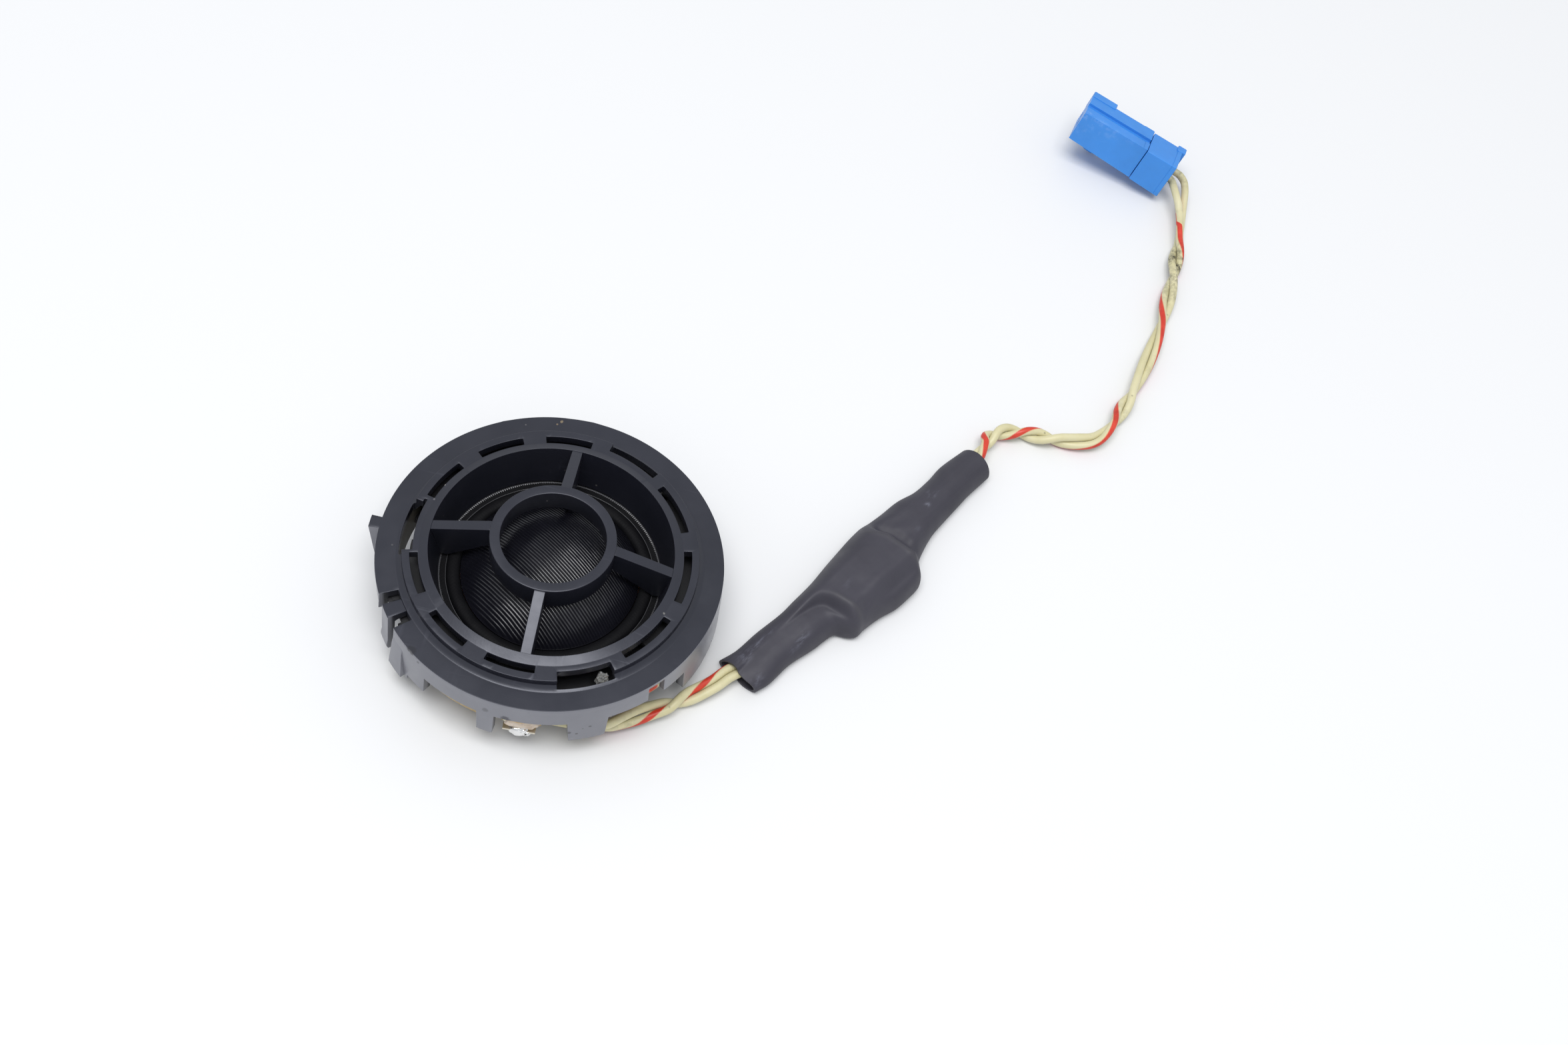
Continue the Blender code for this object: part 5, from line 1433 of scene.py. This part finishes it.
# ------------------------------------------------------------------ board, its glue and its solder, seen below the skirt
edge = ((236.0, 22.9), (243.2, 22.9), (243.4, 23.8), (261.4, 23.8), (261.6, 23.3), (269.2, 23.3), (270.0, 23.6),
        (283.5, 23.6), (284.0, 22.7), (305.8, 22.7), (306.2, 23.3), (313.6, 23.3))
rim_pts = []
for (a0, r0), (a1, r1) in zip(edge, edge[1:]):
    n = max(1, int((a1 - a0) / 2.0))
    rim_pts += [(a0 + (a1 - a0) * k / n, r0 + (r1 - r0) * k / n) for k in range(n)]
rim_pts.append(edge[-1])
inner_pts = [(a, 18.4) for a in np.linspace(edge[-1][0], edge[0][0], 32)]
loop = [polar(r, a) for a, r in rim_pts + inner_pts]
n = len(loop)
verts = [p + Vector((0, 0, 5.35)) for p in loop] + [p + Vector((0, 0, 6.65)) for p in loop]
faces = [tuple(reversed(range(n))), tuple(range(n, 2 * n))] + [(i, (i + 1) % n, n + (i + 1) % n, n + i) for i in range(n)]
board = link("board_laminate", mesh_from("board_laminate", verts, faces), BOARD.m, "housing")
bevelled(board, 0.06, 2)
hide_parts("terminal_board")


def blob(name, centre, radii, turn, mat, lumps=0.12, seed=0.0, flat=None, sub=5, sharpness=2.0):
    """A soft lump: an ellipsoid with slow bumps, turned about Z, and cut flat below a height if asked."""
    bm = bmesh.new()
    bmesh.ops.create_icosphere(bm, subdivisions=sub, radius=1.0)
    c, sn = math.cos(math.radians(turn)), math.sin(math.radians(turn))
    for v in bm.verts:
        d = v.co.normalized()
        e = 2.0 / sharpness
        q = Vector([math.copysign(abs(x) ** e, x) for x in d])
        if sharpness != 2.0:
            q = q / max(1e-6, (abs(q.x) ** sharpness + abs(q.y) ** sharpness + abs(q.z) ** sharpness) ** (1 / sharpness))
        k = 1.0 + lumps * noise.noise(d * 1.7 + Vector((seed, 0, 0))) + 0.35 * lumps * noise.noise(d * 4.5 + Vector((0, seed, 0)))
        q = Vector((q.x * radii[0], q.y * radii[1], q.z * radii[2])) * k
        q = Vector((q.x * c - q.y * sn, q.x * sn + q.y * c, q.z)) + Vector(centre)
        if flat is not None and q.z < flat:
            q.z = flat + 0.15 * (q.z - flat)
        v.co = q * MM
    me = bpy.data.meshes.new(name)
    bm.to_mesh(me)
    bm.free()
    return link(name, me, mat, "housing", sharp=80.0)


# cream resin pad over the board's edge, its browner patch, and the bright solder below it
pad = blob("resin_pad", polar(23.35, 276.8, 6.75), (2.45, 1.32, 1.28), 276.8 + 90.0, PAD_GLUE.m, 0.10, 2.0, sharpness=3.2)
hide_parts("adhesive_pad")
blob("resin_pad_patch", polar(24.25, 275.6, 7.75), (1.35, 0.42, 0.40), 275.6 + 90.0, PATCH_GLUE.m, 0.25, 5.0)
blob("resin_smear", polar(23.3, 271.4, 7.0), (0.75, 0.9, 0.8), 271.4 + 90.0, BEAD_GLUE.m, 0.3, 8.0)
joint = blob("solder_bead_a", polar(23.85, 276.0, 4.55), (1.55, 0.95, 1.0), 276.0 + 90.0, SOLDER.m, 0.16, 3.0, sharpness=2.4)
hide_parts("solder_joint_a")
blob("solder_bead_a_tip", polar(24.15, 278.9, 4.35), (0.62, 0.55, 0.58), 10.0, SOLDER.m, 0.5, 12.0)
blob("solder_pit", polar(24.62, 278.5, 4.45), (0.20, 0.14, 0.24), 278.5 + 90.0, PIT.m, 0.3, 4.0, sub=4)
# second terminal, beside the leads
blob("terminal_b_glue", polar(23.25, 307.6, 6.6), (0.85, 0.75, 1.15), 307.6 + 90.0, BEAD_GLUE.m, 0.25, 21.0)
blob("terminal_b_hole", polar(23.98, 307.9, 6.9), (0.34, 0.16, 0.42), 307.9 + 90.0, PIT.m, 0.2, 7.0, sub=4)
bead = blob("melt_bead", polar(23.55, 223.8, 2.6), (0.85, 0.62, 1.7), 223.8 + 90.0, BEAD_GLUE.m, 0.25, 31.0)
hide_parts("adhesive_bead")
dab = blob("window_dab", polar(20.6, 306.4, 11.2), (0.85, 0.9, 1.30), 20.0, DAB_GLUE.m, 0.55, 41.0)
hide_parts("adhesive_dab")

cap = blob("capacitor_body", sleeve_point(25.7, -2.9, 3.15), (6.1, 2.45, 2.1), 60.2, CAPACITOR.m, 0.0, 51.0, sharpness=7.0)
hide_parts("capacitor")

# ------------------------------------------------------------------ floor and light
floor_mat = Shader("floor_pale", (0.735, 0.738, 0.742), 0.55)
floor = link("floor", mesh_from("floor", [(-1500, -1500, -0.06), (1500, -1500, -0.06), (1500, 1500, -0.06), (-1500, 1500, -0.06)], [(0, 1, 2, 3)]), floor_mat.m, None, smooth=False)

world = bpy.data.worlds.new("studio")
scene.world = world
world.use_nodes = True
wt = world.node_tree
bg = wt.nodes["Background"]
bg.inputs["Color"].default_value = (0.93, 0.955, 1.0, 1.0)
bg.inputs["Strength"].default_value = 0.70


def softbox(name, pos, target, size, power, colour=(1.0, 1.0, 1.0)):
    data = bpy.data.lights.new(name, "AREA")
    data.shape = "RECTANGLE"
    data.size, data.size_y = size
    data.energy = power
    data.color = colour
    ob = bpy.data.objects.new(name, data)
    scene.collection.objects.link(ob)
    ob.location = pos
    d = Vector(target) - Vector(pos)
    ob.rotation_mode = "QUATERNION"
    ob.rotation_quaternion = d.to_track_quat("-Z", "Y")
    return ob


softbox("overhead", (0.0, -0.17, 0.95), (0.03, 0.02, 0.0), (0.75, 0.50), 7.5)

scene.view_settings.view_transform = "Standard"
scene.view_settings.look = "None"

# ------------------------------------------------------------------ finishes of the CAD nodes that show as they are
for node, mat in (("driver_frame", FRAME_PLASTIC), ("surround_mount_ring", FIBRE), ("voice_coil_former", FILM), ("voice_coil_winding", ENAMEL),
                  ("damping_felt", FELT), ("pole_plate", STEEL), ("magnet", MAGNET), ("yoke_cup", STEEL), 
                  ("solder_terminal_a", TINNED), ("solder_terminal_b", TINNED), ("solder_joint_b", SOLDER),
                  
                  ("crimp_splice_in", TINNED), ("crimp_splice_out", TINNED), ("contact_1", BRASS), ("contact_2", BRASS)):
    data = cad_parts[node].data
    if data.materials:
        for i in range(len(data.materials)):
            data.materials[i] = mat.m
    else:
        data.materials.append(mat.m)
